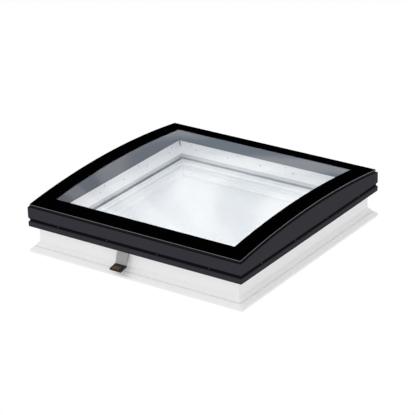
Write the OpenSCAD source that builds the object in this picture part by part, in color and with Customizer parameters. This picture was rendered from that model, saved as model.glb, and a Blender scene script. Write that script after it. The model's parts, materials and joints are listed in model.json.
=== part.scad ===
// Electric opening roof window for a flat roof: a welded white base frame, a hinged sash with a
// double-glazed unit, and a cover of single-curved glass above dark side profiles.
// Lengths are in millimetres. +Z is up, and z = 0 is the underside of the base flange. The origin is
// the centre of the plan. The front, -Y, is the side that lifts, and the hinges are on the rear.
// Every section is drawn as (inset, z): the inset is measured inwards from the edge of the cover
// glass, so a negative inset lies outside the glass.

/* [Cover glass] */
// Length of the glass along its straight front and rear edges
glass_x = 1000; // [900:10:1400]
// Length of the glass from front to rear, across its arch
glass_y = 1000; // [900:10:1400]
// Thickness of the glass
glass_t = 6; // [4:0.5:8]
// Rise of the glass from its straight edges to its crown
arch_rise = 34; // [20:1:60]
// Corner radius of the glass in plan
glass_corner_r = 4; // [1:0.5:12]
// Width of the black band round the glass
border_w = 75.6; // [74:0.2:90]
// Corner radius of the band's clear window
border_corner_r = 5; // [1:0.5:12]
// Thickness of the black band
border_t = 0.6; // [0.3:0.1:1]
// Height of the glass's underside above the sash, along the straight edges
cover_h = 37; // [30:1:60]

/* [Bonding seal] */
// Height of the joint between the cover profiles and the glass
bond_t = 6; // [4:0.5:9]
// Width of the seal
bond_w = 18; // [10:1:30]
// Inset of the seal from the glass edge
bond_inset = 2; // [1:0.5:6]

/* [Cladding] */
// Reach of the cladding's face beyond the glass edge
clad_out = 5.5; // [3:0.5:10]
// Wall thickness of the cladding
clad_wall = 2.5; // [1.5:0.1:3]
// Height of the cladding's lower edge above the underside of the sash
clad_rise = 5; // [2:0.5:8]
// Height of the lower strip, up to the groove
strip_h = 20; // [16:0.5:24]
// Setback of the lower strip's bottom edge
strip_setback = 0.5; // [0:0.1:1.5]
// Depth of the groove above the strip
groove_depth = 5; // [3:0.5:6]
// Height of the groove's lower slope
groove_low_h = 4.5; // [2:0.5:7]
// Height of the flat at the bottom of the groove
groove_flat_h = 6.5; // [6.5:0.5:9]
// Height of the groove's upper slope
groove_up_h = 6; // [3:0.5:9]
// Radius of the edge above the groove
groove_round_r = 9; // [2:0.5:12]
// Radius of the lower strip's upper edge
strip_edge_r = 0.8; // [0.3:0.1:1.5]
// Gap between the groove's back and the sash
clad_gap = 1; // [0.5:0.1:2]
// Width of the cladding's flange under the seal
clad_flange_w = 15.5; // [12:0.5:20]
// Leg length of the corner cleats
cleat_leg = 32; // [20:1:50]
// Height of the corner cleats
cleat_h = 26; // [15:1:30]
// Thickness of the corner cleats
cleat_t = 2; // [1:0.5:3]

/* [Cladding screws] */
// Screws in each side's groove
clad_screw_count = 4; // [2:1:6]
// Distance between them
clad_screw_pitch = 239; // [100:1:240]
// Diameter of the screw heads
clad_head_d = 6; // [4:0.5:6.5]
// Height of the screw heads
clad_head_t = 2; // [1:0.5:3]
// Diameter of the screw shanks
clad_shank_d = 3.5; // [2.5:0.1:4]
// Reach of the screws behind the groove
clad_shank_len = 22; // [12:1:40]
// Clearance round the shanks in the cladding
clad_hole_gap = 0.25; // [0.1:0.05:0.5]

/* [Skirt] */
// Inset of the skirt's inner face
skirt_inset = 76; // [74:0.5:90]
// Wall thickness of the skirt
skirt_wall = 2.5; // [1.5:0.1:4]
// Width of the skirt's foot on the sash
skirt_foot_w = 36; // [20:1:50]
// Room between the skirt's upper edge and the black band
skirt_room = 0.2; // [0.1:0.1:1]

/* [Base frame] */
// Height of the frame's top rim
rim_z = 103; // [95:1:140]
// Inset of the outer wall
wall_inset = 24.5; // [20:0.5:30]
// Width of the top rim
rim_w = 45.5; // [40:0.5:48]
// Height of the rim above the inner ledge
rim_step = 15; // [10:0.5:20]
// Inset of the inner lining face
lining_inset = 128; // [124:1:140]
// Chamfer between the ledge and the lining face
ledge_chamfer = 4; // [1:0.5:6]
// Height of the lining groove's lower edge
lining_groove_z = 71; // [20:1:75]
// Width of the lining groove
lining_groove_w = 3; // [2:0.5:6]
// Depth of the lining groove
lining_groove_depth = 4; // [2:0.5:8]
// Reach of the flange beyond the glass edge
flange_out = 8; // [4:0.5:20]
// Thickness of the flange's edge
flange_t = 8; // [4:0.5:12]
// Height of the outer wall's foot, where the flange slope starts
slope_top_z = 41.3; // [36:0.1:50]
// Inset of the slope's step, at its upper edge
step_inset = 10.3; // [8:0.1:14]
// Height of the step's upper edge
step_z = 25.5; // [24:0.5:28]
// Height of the step
step_h = 5; // [2:0.5:7]
// Width of the step
step_w = 5.4; // [2:0.1:7]
// How far the step is cut back under the slope
step_cut = 3; // [0:0.5:5]
// Corner radius of the flange in plan
flange_corner_r = 7; // [2:0.5:15]
// Radius of the frame's outer edges
frame_edge_r = 1.5; // [0.5:0.1:2]
// Radius between the outer wall and the slope at its foot
wall_foot_r = 4; // [1:0.5:6]

/* [Fixing holes] */
// Distance between the fixing holes across the frame
fix_x = 800; // [600:10:1000]
// Distance between the fixing holes from front to rear
fix_y = 800; // [600:10:1000]
// Diameter of the fixing holes
fix_d = 9; // [5:0.5:12]

/* [Frame seal] */
// Height of the seal between the frame's rim and the closed sash
seal_h = 3; // [2:0.5:6]
// Width of the seal at its foot
seal_w = 10; // [6:0.5:12]
// Width of the seal at its top
seal_top_w = 6; // [3:0.5:8]
// Distance of the seal from the rim's inner edge
seal_edge = 8; // [4:0.5:12]
// Radius of the seal's upper edges
seal_edge_r = 1.2; // [0.5:0.1:1.5]

/* [Sash] */
// Gap between the sash's lip and the frame's ledge
lip_gap = 2; // [2:0.5:6]
// Thickness of the sash's lip
lip_t = 7; // [5:0.5:12]
// Width of the lip's rest under the edge of the glazing unit
rest_w = 31; // [22:1:34]
// Side gap between the lip and the frame's rim
lip_side_gap = 2; // [1:0.5:5]
// Inset of the glazing rebate's wall
rebate_inset = 88; // [84:0.5:94]
// Inset of the trim seat's wall
trim_seat_inset = 72; // [68:0.5:73]

/* [Glazing unit] */
// Thickness of each pane
pane_t = 4; // [3:0.5:6]
// Height of the gap between the panes
pane_gap = 14; // [10:0.5:20]
// Clearance between the unit's edge and the rebate
unit_gap = 2; // [1:0.5:3]
// Width of the spacer bar
spacer_w = 7; // [5:0.5:9]
// Inset of the spacer bar's inner face
spacer_inset = 108.5; // [102:0.5:111]
// Height of the gasket under the unit
gasket_t = 3; // [2:0.5:5]
// Length of a setting block
block_len = 100; // [50:5:150]

/* [Beads and trims] */
// Height of the glazing beads
bead_h = 25; // [15:0.5:35]
// Inset of the beads' inner edge on the glass
bead_inset = 109; // [104:0.5:112]
// Inset of the beads' upper edge
bead_top_inset = 93; // [90:0.5:100]
// Height of the trims above the beads
trim_h = 16; // [10:0.5:24]
// Inset of the trims' upper edge
trim_top_inset = 77; // [76:0.5:86]
// Radius of the edges of the beads and trims
bead_edge_r = 1; // [0.3:0.1:2]
// Width of the open joint between trims at the corners
trim_joint = 4.2; // [1:0.2:5]
// Screws in each bead
bead_screw_count = 5; // [3:1:7]
// Distance between the bead screws
bead_screw_pitch = 162; // [60:1:170]
// Screws in each trim
trim_screw_count = 4; // [2:1:6]
// Distance between the trim screws
trim_screw_pitch = 237; // [100:1:240]
// Diameter of the bead and trim screws
pin_screw_d = 5; // [3:0.5:6]
// Length of the bead and trim screws
pin_screw_len = 14; // [8:1:20]
// Height of the screws above the face
pin_screw_proud = 0.6; // [0.3:0.1:1.2]

/* [Hinges] */
// Distance of each hinge from the middle of the rear side
hinge_x = 300; // [150:5:380]
// Width of a hinge
hinge_w = 64; // [50:1:100]
// Outer diameter of the knuckles
knuckle_d = 14; // [12:0.5:15]
// Diameter of the hinge pin
hinge_pin_d = 8; // [5:0.5:9]
// Radial clearance of the pin
hinge_pin_gap = 0.05; // [0.02:0.01:0.1]
// Gap between knuckles
knuckle_gap = 1; // [0.5:0.1:2]
// Thickness of the hinge leaves
leaf_t = 3; // [2:0.5:3]
// Height of the leaf on the frame's wall
base_leaf_h = 36; // [25:1:45]
// Height of the leaf on the sash
sash_leaf_h = 25; // [18:0.5:25]
// Inset of the hinge axis
axis_inset = 13; // [12:0.5:14]
// Drop of the hinge axis below the underside of the sash
axis_drop = 9; // [8:0.5:10]
// Screws in each leaf
leaf_screw_count = 3; // [2:1:4]
// Distance between the leaf screws
leaf_screw_pitch = 22; // [14:1:30]
// Diameter of the leaf screws
leaf_screw_d = 4.5; // [3:0.5:5]
// Diameter of the leaf screws' heads
leaf_head_d = 8; // [6:0.5:10]
// Height of the leaf screws' heads
leaf_head_t = 1.8; // [1:0.1:2.2]
// Reach of the leaf screws behind the leaf
leaf_screw_len = 25; // [10:1:35]

/* [Chain drive] */
// Length of the drive housing
drive_len = 400; // [250:10:480]
// Depth of the drive housing
drive_w = 36; // [32:1:38]
// Height of the drive housing
drive_h = 40; // [36:1:44]
// Corner radius of the drive housing
drive_r = 4; // [1:0.5:8]
// Thickness of the drive's end caps
drive_cap_t = 6; // [3:0.5:12]
// Room round the drive in its pocket
drive_room = 1; // [0.5:0.5:2]
// Room above the drive
drive_head_room = 4; // [3:0.5:8]
// Thickness of the cover over the drive
drive_cover_t = 2; // [1:0.5:3]
// Depth of the cover's recess below the ledge
drive_recess = 4; // [3:0.5:6]
// Width of the cover's seat at each side of the pocket
drive_seat = 5; // [3:0.5:6]
// Inset of the drive's centre line
drive_inset = 97; // [95:0.5:99]

/* [Drive chain] */
// Pitch of the chain's links
chain_pitch = 12; // [10:0.5:13]
// Width of a link plate
link_w = 9; // [7:0.5:11]
// Thickness of a link plate
link_t = 1.5; // [1:0.1:2]
// Diameter of the chain's pins
chain_pin_d = 4; // [3:0.1:5]
// Clearance of the chain's head pin
chain_pin_gap = 0.05; // [0.02:0.01:0.1]
// Diameter of the chain's rollers
roller_d = 6; // [5.5:0.1:7]
// Width of the chain's rollers
roller_w = 3; // [2:0.5:4]
// Depth of the head pin below the sash's lip
chain_drop = 10; // [9:0.5:12]
// Thickness of the chain bracket
chain_bracket_t = 2; // [1.5:0.1:2]
// Length of the chain bracket's plate
chain_bracket_len = 46; // [40:1:70]
// Width of the chain bracket's plate
chain_bracket_w = 24; // [20:1:30]
// Width of the chain bracket's cheeks
cheek_w = 12; // [9:0.5:14]
// Side gap between the chain and the cheeks
cheek_gap = 0.5; // [0.3:0.1:1]
// Room round the chain bracket in the cover's slot
slot_room = 6; // [3:0.5:8]

/* [Rain sensor] */
// Place of the sensor along the front side
sensor_x = -57; // [-300:1:300]
// Width of the sensor
sensor_w = 54; // [40:1:70]
// Thickness of the sensor's strip
sensor_strip_t = 1.5; // [1:0.1:2]
// Inset of the strip's inner end on the rim
sensor_leg_inset = 44; // [40:0.5:46]
// Inset of the strip's bend
sensor_bend_inset = 17.5; // [14:0.5:20]
// Reach of the strip's lower end beyond the glass edge
sensor_foot_out = 2.3; // [0:0.1:5]
// Height of the strip's lower end
sensor_foot_z = 45; // [42:0.5:60]
// Reach of the sensor plate beyond the glass edge
sensor_out = 40; // [30:0.5:60]
// Fall of the sensor plate to its outer edge
sensor_fall = 7; // [3:0.5:12]
// Thickness of the sensor plate
sensor_t = 7; // [5:0.5:9]
// Corner radius of the sensor plate
sensor_corner_r = 3; // [1:0.5:6]
// Radius of the plate's outer edges
sensor_edge_r = 2; // [0.5:0.1:2.2]
// Inner radius of the strip's bend
sensor_bend_r = 1.5; // [0.5:0.1:3]
// Length of the sensing pad
pad_len = 32; // [20:1:40]
// Offset of the sensing pad along the sensor
pad_shift = -2; // [-6:0.5:6]
// Width of the sensing pad
pad_w = 18; // [10:0.5:22]
// Distance of the sensing pad from the plate's outer edge
pad_edge = 4; // [2:0.5:8]
// Height of the sensing pad above the plate
pad_t = 0.8; // [0.4:0.1:1.2]
// Diameter of the strip's screws
sensor_screw_d = 4; // [3:0.5:5]
// Diameter of the strip's screw heads
sensor_head_d = 8; // [6:0.5:10]
// Height of the strip's screw heads
sensor_head_t = 1; // [0.5:0.1:1.2]
// Length of the strip's screws
sensor_screw_len = 14; // [8:1:30]

/* [Hidden] */
// Overrun of every cut past the faces that it cuts
overrun = 5;
// Faces of the arch in a preview, and of small round pieces
arch_fn = 256;
round_fn = 48;

// Shares of a rounded edge's arc at which its points lie
arc_shares = [0, 0.25, 0.5, 0.75, 1];

// Sides in order round the plan, each a quarter turn from the one before
sides = ["front", "right", "rear", "left"];

// Heights of the sash, stacked up from the frame's rim
ledge_z = rim_z - rim_step;
sash_low_z = rim_z + seal_h;
lip_low_z = ledge_z + lip_gap;
lip_top_z = lip_low_z + lip_t;
pane_low_z = lip_top_z + gasket_t;
spacer_low_z = pane_low_z + pane_t;
pane_up_z = spacer_low_z + pane_gap;
unit_top_z = pane_up_z + pane_t;
bead_top_z = unit_top_z + bead_h;
sash_top_z = bead_top_z + trim_h;

// The arch of the glass's upper face, an arc about an axis along X
glass_edge_z = sash_top_z + cover_h + glass_t;
arch_r = (pow(glass_y / 2, 2) + pow(arch_rise, 2)) / (2 * arch_rise);
arch_centre_z = glass_edge_z + arch_rise - arch_r;
crown_z = glass_edge_z + arch_rise;

// Depths below the glass's upper face of the faces that follow the arch
border_drop = glass_t + border_t;
bond_drop = glass_t + bond_t;
flange_drop = bond_drop + clad_wall;

// Cladding and sash
clad_low_z = sash_low_z + clad_rise;
groove_low_z = clad_low_z + strip_h;
groove_flat_z = groove_low_z + groove_low_h;
groove_mid_z = groove_flat_z + groove_flat_h / 2;
groove_up_z = groove_flat_z + groove_flat_h;
groove_top_z = groove_up_z + groove_up_h;
groove_inset = groove_depth - clad_out;
clad_flange_inset = clad_flange_w - clad_out;
clad_inner_inset = clad_wall - clad_out;
sash_inset = groove_inset + clad_wall + clad_gap;
cleat_mid_z = (groove_top_z + glass_edge_z - flange_drop) / 2;

// Base frame
rim_inner_inset = wall_inset + rim_w;
lip_outer_inset = rim_inner_inset + lip_side_gap;
unit_inset = rebate_inset + unit_gap;
lip_inset = unit_inset + rest_w;

// Hinges
axis_z = sash_low_z - axis_drop;
knuckle_r = knuckle_d / 2;
base_leaf_low_z = axis_z - knuckle_r + leaf_t - base_leaf_h;
sash_leaf_low_z = axis_z + knuckle_r - leaf_t;
sash_knuckle_w = hinge_w / 2;
base_knuckle_w = (hinge_w - sash_knuckle_w) / 2 - knuckle_gap;

// Chain drive and chain
recess_z = ledge_z - drive_recess;
drive_top_z = recess_z - drive_head_room;
drive_low_z = drive_top_z - drive_h;
head_pin_z = lip_low_z - chain_drop;
link_r = link_w / 2;
inner_link_x = roller_w / 2;
outer_link_x = inner_link_x + link_t;
cheek_x = outer_link_x + link_t + cheek_gap;
slot_low_z = head_pin_z - 2 * chain_pitch - link_r;

// Rain sensor
sensor_lean = (sensor_bend_inset + sensor_foot_out) / (rim_z + sensor_strip_t - sensor_foot_z);
sensor_top_z = sensor_foot_z + sensor_t;

// Colours
white = [0.93, 0.93, 0.94];
black = [0.08, 0.08, 0.09];
dark_grey = [0.2, 0.2, 0.22];
blue_grey = [0.44, 0.47, 0.51];
rubber_grey = [0.28, 0.33, 0.38];
steel_grey = [0.66, 0.66, 0.67];
zinc_grey = [0.78, 0.79, 0.8];
black_steel = [0.16, 0.16, 0.17];
copper_brown = [0.33, 0.2, 0.08];
clear_glass = [0.75, 0.85, 0.9, 0.3];

// Turn of a side about the centre, from the front
function side_turn(side) = [for (i = [0:len(sides) - 1]) if (sides[i] == side) i * 90][0];

// Half the glass's length along a side, and the distance from the centre to that side's glass edge
function straight(side) = side == "front" || side == "rear";
function run_half(side) = straight(side) ? glass_x / 2 : glass_y / 2;
function reach_half(side) = straight(side) ? glass_y / 2 : glass_x / 2;

// Points of the arc that rounds the corner b between its neighbours a and c
function unit(v) = v / norm(v);
function corner_arc(a, b, c, r) =
    let (
        u = unit(a - b), v = unit(c - b), half = acos(u * v) / 2,
        centre = b + unit(u + v) * r / sin(half),
        first = b + u * r / tan(half) - centre, last = b + v * r / tan(half) - centre,
        start = atan2(first[1], first[0]), full = atan2(last[1], last[0]) - start,
        sweep = full > 180 ? full - 360 : full < -180 ? full + 360 : full
    )
    [for (share = arc_shares) centre + r * [cos(start + share * sweep), sin(start + share * sweep)]];

// The outline of a section whose corners are given as [inset, z, radius]
function flat_point(corner) = [corner[0], corner[1]];
function rounded(corners) = [
    for (i = [0:len(corners) - 1])
        let (
            count = len(corners),
            a = corners[(i + count - 1) % count], b = corners[i], c = corners[(i + 1) % count]
        )
            each b[2] > 0 ? corner_arc(flat_point(a), flat_point(b), flat_point(c), b[2]) : [flat_point(b)]
];

// Places of a row of count pieces about the middle of a side
function row(count, pitch) = [for (i = [0:count - 1]) (i - (count - 1) / 2) * pitch];

// Turns and moves a piece to a side: x runs along the side, and y is the inset
module on_side(side) {
    rotate([0, 0, side_turn(side)]) translate([0, -reach_half(side), 0]) children();
}

// The plan of one side between its two mitres, with an open joint of the given width
module mitre_plan(side, joint) {
    out = flange_out + overrun;
    deep = lining_inset + overrun;
    trim = joint / sqrt(2);
    wide_half = run_half(side) + out - trim;
    narrow_half = run_half(side) - deep - trim;
    polygon([[-wide_half, -out], [wide_half, -out], [narrow_half, deep], [-narrow_half, deep]]);
}

// A length of a profile along a side, mitred at both ends
module mitred_bar(side, joint = 0) {
    reach = run_half(side) + flange_out + overrun;
    on_side(side) intersection() {
        translate([-reach, 0, 0]) rotate([90, 0, 90])
            linear_extrude(2 * reach) children();
        translate([0, 0, -overrun]) linear_extrude(crown_z + 2 * overrun) mitre_plan(side, joint);
    }
}

// A closed frame of four mitred lengths of a profile
module mitred_ring() {
    for (side = sides) mitred_bar(side) children();
}

// A rectangle in a section, from one inset and height to another
module section_box(inset_a, inset_b, low_z, high_z) {
    translate([inset_a, low_z]) square([inset_b - inset_a, high_z - low_z]);
}

// A rectangle in plan at an inset, with round corners
module plan_panel(inset, corner_r) {
    size_x = glass_x - 2 * inset;
    size_y = glass_y - 2 * inset;
    square([size_x, size_y - 2 * corner_r], center = true);
    square([size_x - 2 * corner_r, size_y], center = true);
    for (sx = [-1, 1], sy = [-1, 1])
        translate([sx * (size_x / 2 - corner_r), sy * (size_y / 2 - corner_r)])
            circle(corner_r, $fn = round_fn);
}

// A flat ring between two insets
module flat_ring(inset_a, inset_b, low_z, high_z) {
    translate([0, 0, low_z]) linear_extrude(high_z - low_z) difference() {
        square([glass_x - 2 * inset_a, glass_y - 2 * inset_a], center = true);
        square([glass_x - 2 * inset_b, glass_y - 2 * inset_b], center = true);
    }
}

// A flat pane at an inset
module flat_pane(inset, low_z) {
    translate([0, 0, low_z]) linear_extrude(pane_t)
        square([glass_x - 2 * inset, glass_y - 2 * inset], center = true);
}

// Extrudes a section of the arch over the whole width of the cover
module along_arch() {
    reach = glass_x / 2 + clad_out + overrun;
    translate([-reach, 0, arch_centre_z]) rotate([90, 0, 90])
        linear_extrude(2 * reach) children();
}

// All that lies below the arch, and a layer of the arch between two depths
module below_arch(drop) {
    along_arch() circle(arch_r - drop, $fn = arch_fn);
}
module arch_layer(drop_a, drop_b) {
    along_arch() difference() {
        circle(arch_r - drop_a, $fn = arch_fn);
        circle(arch_r - drop_b, $fn = arch_fn);
    }
}

// A plan shape drawn up through the arch
module through_arch() {
    translate([0, 0, sash_top_z]) linear_extrude(crown_z - sash_top_z + overrun) children();
}

// A round rod across a side, from one inset to another
module rod_across(x, z, d, inset_a, inset_b) {
    translate([x, inset_a, z]) rotate([-90, 0, 0])
        cylinder(h = inset_b - inset_a, d = d, $fn = round_fn);
}

// A round rod along a side, between two places
module rod_along(x_a, x_b, inset, z, d) {
    translate([x_a, inset, z]) rotate([0, 90, 0]) cylinder(h = x_b - x_a, d = d, $fn = round_fn);
}

// The base frame's section, from the flange's edge round to the lining
module base_section() {
    groove_top = lining_groove_z + lining_groove_w;
    groove_back = lining_inset - lining_groove_depth;
    polygon(rounded([
        [-flange_out, 0, 0], [-flange_out, flange_t, frame_edge_r],
        [step_inset - step_w, step_z - step_h, frame_edge_r], [step_inset + step_cut, step_z - step_h, 0],
        [step_inset, step_z, frame_edge_r],
        [wall_inset, slope_top_z, wall_foot_r], [wall_inset, rim_z, frame_edge_r],
        [rim_inner_inset, rim_z, 0], [rim_inner_inset, ledge_z, 0],
        [lining_inset - ledge_chamfer, ledge_z, 0], [lining_inset, ledge_z - ledge_chamfer, 0],
        [lining_inset, groove_top, 0], [groove_back, groove_top, 0],
        [groove_back, lining_groove_z, 0], [lining_inset, lining_groove_z, 0], [lining_inset, 0, 0]
    ]));
}

// The pocket for the chain drive and the seat of its cover
module drive_pocket() {
    pocket_half = drive_len / 2 + drive_room;
    pocket_w = drive_w + 2 * drive_room;
    seat_half = pocket_half + drive_seat;
    seat_w = pocket_w + 2 * drive_seat;
    on_side("front") {
        translate([-pocket_half, drive_inset - pocket_w / 2, drive_low_z])
            cube([2 * pocket_half, pocket_w, recess_z - drive_low_z + overrun]);
        translate([-seat_half, drive_inset - seat_w / 2, recess_z])
            cube([2 * seat_half, seat_w, drive_recess + overrun]);
    }
}

module base_frame() {
    color(white) difference() {
        intersection() {
            mitred_ring() base_section();
            linear_extrude(rim_z + overrun) plan_panel(-flange_out, flange_corner_r);
        }
        drive_pocket();
        for (sx = [-1, 1], sy = [-1, 1]) translate([sx * fix_x / 2, sy * fix_y / 2, -overrun])
            cylinder(h = rim_z + 2 * overrun, d = fix_d, $fn = round_fn);
    }
}

module frame_seal() {
    outer = rim_inner_inset - seal_edge - seal_w;
    slope = (seal_w - seal_top_w) / 2;
    color(dark_grey) mitred_ring() polygon(rounded([
        [outer, rim_z, 0], [outer + seal_w, rim_z, 0],
        [outer + seal_w - slope, sash_low_z, seal_edge_r], [outer + slope, sash_low_z, seal_edge_r]
    ]));
}

// The drive's section, with round corners
module drive_section(w, h, r) {
    square([w - 2 * r, h], center = true);
    square([w, h - 2 * r], center = true);
    for (sx = [-1, 1], sy = [-1, 1]) translate([sx * (w / 2 - r), sy * (h / 2 - r)])
        circle(r, $fn = round_fn);
}

// A length of the drive's section along the front side, between two places
module drive_bar(x_a, x_b) {
    on_side("front") translate([x_a, drive_inset, drive_low_z + drive_h / 2])
        rotate([90, 0, 90]) linear_extrude(x_b - x_a) drive_section(drive_w, drive_h, drive_r);
}

module drive_housing() {
    half = drive_len / 2 - drive_cap_t;
    slot_half = cheek_x + chain_bracket_t + cheek_gap;
    slot_w = cheek_w + 2 * cheek_gap;
    color(steel_grey) difference() {
        drive_bar(-half, half);
        on_side("front") translate([-slot_half, drive_inset - slot_w / 2, slot_low_z])
            cube([2 * slot_half, slot_w, drive_top_z - slot_low_z + overrun]);
    }
}

module drive_cap(hand) {
    half = drive_len / 2;
    color(black) drive_bar(hand < 0 ? -half : half - drive_cap_t, hand < 0 ? drive_cap_t - half : half);
}

// Places of the drive cover's screws along the front side
drive_cover_half = drive_len / 2 + drive_room + drive_seat;
drive_cover_w = drive_w + 2 * drive_room + 2 * drive_seat;
cover_screw_inset = drive_cover_w / 2 - drive_seat / 2;
cover_screw_d = drive_seat / 2;

module drive_cover() {
    slot_x = chain_bracket_len + 2 * slot_room;
    slot_w = chain_bracket_w + 2 * slot_room;
    color(white) on_side("front") translate([0, drive_inset, recess_z]) linear_extrude(drive_cover_t)
        difference() {
            square([2 * drive_cover_half, drive_cover_w], center = true);
            square([slot_x, slot_w], center = true);
            for (x = row(2, 2 * drive_cover_half - 2 * drive_seat), s = [-1, 1])
                translate([x, s * cover_screw_inset]) circle(d = cover_screw_d, $fn = round_fn);
        }
}

module drive_cover_screws() {
    color(zinc_grey) on_side("front") for (x = row(2, 2 * drive_cover_half - 2 * drive_seat), s = [-1, 1])
        translate([x, drive_inset + s * cover_screw_inset, recess_z - drive_head_room])
            cylinder(h = drive_head_room + drive_cover_t, d = cover_screw_d, $fn = round_fn);
}

// A pair of link plates between two eyes, with bores of the given diameter
module link_pair(x, high_z, bore_d) {
    low_z = high_z - chain_pitch;
    for (side_x = [-x - link_t, x]) translate([side_x, drive_inset, 0]) rotate([90, 0, 90])
        linear_extrude(link_t) difference() {
            union() {
                translate([0, high_z]) circle(link_r, $fn = round_fn);
                translate([0, low_z]) circle(link_r, $fn = round_fn);
                translate([-link_r, low_z]) square([link_w, chain_pitch]);
            }
            translate([0, high_z]) circle(d = bore_d, $fn = round_fn);
        }
}

// The end of the push chain: an outer link to the head pin, an inner link, and the pins between
module drive_chain() {
    outer_half = outer_link_x + link_t;
    color(steel_grey) on_side("front") {
        link_pair(outer_link_x, head_pin_z, chain_pin_d + 2 * chain_pin_gap);
        link_pair(inner_link_x, head_pin_z - chain_pitch, chain_pin_d);
        rod_along(-outer_half, outer_half, drive_inset, head_pin_z - chain_pitch, chain_pin_d);
        for (turn = [1, 2])
            rod_along(-inner_link_x, inner_link_x, drive_inset, head_pin_z - turn * chain_pitch, roller_d);
    }
}

module chain_bracket() {
    cheek_low_z = head_pin_z - cheek_w / 2;
    plate_z = lip_low_z - chain_bracket_t;
    color(zinc_grey) on_side("front") difference() {
        union() {
            translate([-chain_bracket_len / 2, drive_inset - chain_bracket_w / 2, plate_z])
                cube([chain_bracket_len, chain_bracket_w, chain_bracket_t]);
            for (x = [-cheek_x - chain_bracket_t, cheek_x]) {
                translate([x, drive_inset - cheek_w / 2, head_pin_z])
                    cube([chain_bracket_t, cheek_w, lip_low_z - head_pin_z]);
                rod_along(x, x + chain_bracket_t, drive_inset, head_pin_z, cheek_w);
            }
        }
        rod_along(-chain_bracket_len, chain_bracket_len, drive_inset, head_pin_z, chain_pin_d);
    }
}

module chain_head_pin() {
    half = cheek_x + chain_bracket_t;
    color(zinc_grey) on_side("front") rod_along(-half, half, drive_inset, head_pin_z, chain_pin_d);
}

// The sensor's folded strip: a leg on the frame's rim and a leaning leg in front of the wall
module sensor_strip() {
    top_z = rim_z + sensor_strip_t;
    thick = sensor_strip_t * sqrt(1 + pow(sensor_lean, 2));
    color(steel_grey) on_side("front") difference() {
        translate([sensor_x - sensor_w / 2, 0, 0]) rotate([90, 0, 90])
            linear_extrude(sensor_w) polygon(rounded([
                [sensor_leg_inset, rim_z, 0], [sensor_leg_inset, top_z, 0],
                [sensor_bend_inset, top_z, sensor_bend_r + sensor_strip_t],
                [-sensor_foot_out, sensor_foot_z, 0], [thick - sensor_foot_out, sensor_foot_z, 0],
                [sensor_bend_inset - sensor_lean * sensor_strip_t + thick, rim_z, sensor_bend_r]
            ]));
        sensor_screw_rods(sensor_screw_d, sensor_strip_t);
    }
}

// Rods at the places of the strip's screws, down from the strip's upper face
module sensor_screw_rods(d, len) {
    inset = (sensor_leg_inset + wall_inset) / 2;
    for (x = row(2, sensor_w / 2)) translate([sensor_x + x, inset, rim_z + sensor_strip_t - len])
        cylinder(h = len, d = d, $fn = round_fn);
}

module sensor_screws() {
    color(zinc_grey) on_side("front") {
        sensor_screw_rods(sensor_screw_d, sensor_screw_len);
        translate([0, 0, sensor_head_t]) sensor_screw_rods(sensor_head_d, sensor_head_t);
    }
}

// The sensor plate's section, a flat plate that falls outwards from the strip
module sensor_plate() {
    top_out = sensor_foot_out - sensor_lean * sensor_t;
    color(black) on_side("front") intersection() {
        translate([sensor_x - sensor_w / 2, 0, 0]) rotate([90, 0, 90])
            linear_extrude(sensor_w) polygon(rounded([
                [-top_out, sensor_top_z, 0], [-sensor_foot_out, sensor_foot_z, 0],
                [-sensor_out, sensor_foot_z - sensor_fall, sensor_edge_r],
                [-sensor_out, sensor_top_z - sensor_fall, sensor_edge_r]
            ]));
        linear_extrude(rim_z) {
            half_x = sensor_w / 2 - sensor_corner_r;
            translate([sensor_x - sensor_w / 2, sensor_corner_r - sensor_out])
                square([sensor_w, sensor_out + overrun]);
            translate([sensor_x - half_x, -sensor_out]) square([2 * half_x, sensor_out]);
            for (s = [-1, 1]) translate([sensor_x + s * half_x, sensor_corner_r - sensor_out])
                circle(sensor_corner_r, $fn = round_fn);
        }
    }
}

module sensor_pad() {
    top_out = sensor_foot_out - sensor_lean * sensor_t;
    slope = sensor_fall / (sensor_out - top_out);
    outer = sensor_out - pad_edge;
    inner = outer - pad_w;
    outer_z = sensor_top_z - (outer - top_out) * slope;
    inner_z = sensor_top_z - (inner - top_out) * slope;
    color(copper_brown) on_side("front") translate([sensor_x + pad_shift - pad_len / 2, 0, 0])
        rotate([90, 0, 90]) linear_extrude(pad_len) polygon([
            [-inner, inner_z], [-outer, outer_z], [-outer, outer_z + pad_t], [-inner, inner_z + pad_t]
        ]);
}

// A hinge's leaf screws: shanks through the leaf, or heads on it
module leaf_screw_rods(hand, z, d, inset_a, inset_b) {
    for (x = row(leaf_screw_count, leaf_screw_pitch))
        rod_across(hand * hinge_x + x, z, d, inset_a, inset_b);
}

// Heights of the two rows of leaf screws
base_screw_z = base_leaf_low_z + (base_leaf_h - knuckle_d) / 2;
sash_screw_z = (sash_low_z + sash_leaf_low_z + sash_leaf_h) / 2;

module hinge_frame_leaf(hand) {
    half = hinge_w / 2;
    color(zinc_grey) on_side("rear") difference() {
        union() {
            translate([hand * hinge_x - half, wall_inset - leaf_t, base_leaf_low_z])
                cube([hinge_w, leaf_t, base_leaf_h]);
            for (x = [-half, half - base_knuckle_w]) translate([hand * hinge_x + x, 0, 0]) {
                rod_along(0, base_knuckle_w, axis_inset, axis_z, knuckle_d);
                translate([0, axis_inset, axis_z - knuckle_r])
                    cube([base_knuckle_w, wall_inset - axis_inset, leaf_t]);
            }
        }
        rod_along(-glass_x, glass_x, axis_inset, axis_z, hinge_pin_d);
        leaf_screw_rods(hand, base_screw_z, leaf_screw_d,
            wall_inset - leaf_t - overrun, wall_inset + overrun);
    }
}

module hinge_pin(hand) {
    half = hinge_w / 2;
    color(zinc_grey) on_side("rear")
        rod_along(hand * hinge_x - half, hand * hinge_x + half, axis_inset, axis_z, hinge_pin_d);
}

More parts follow.
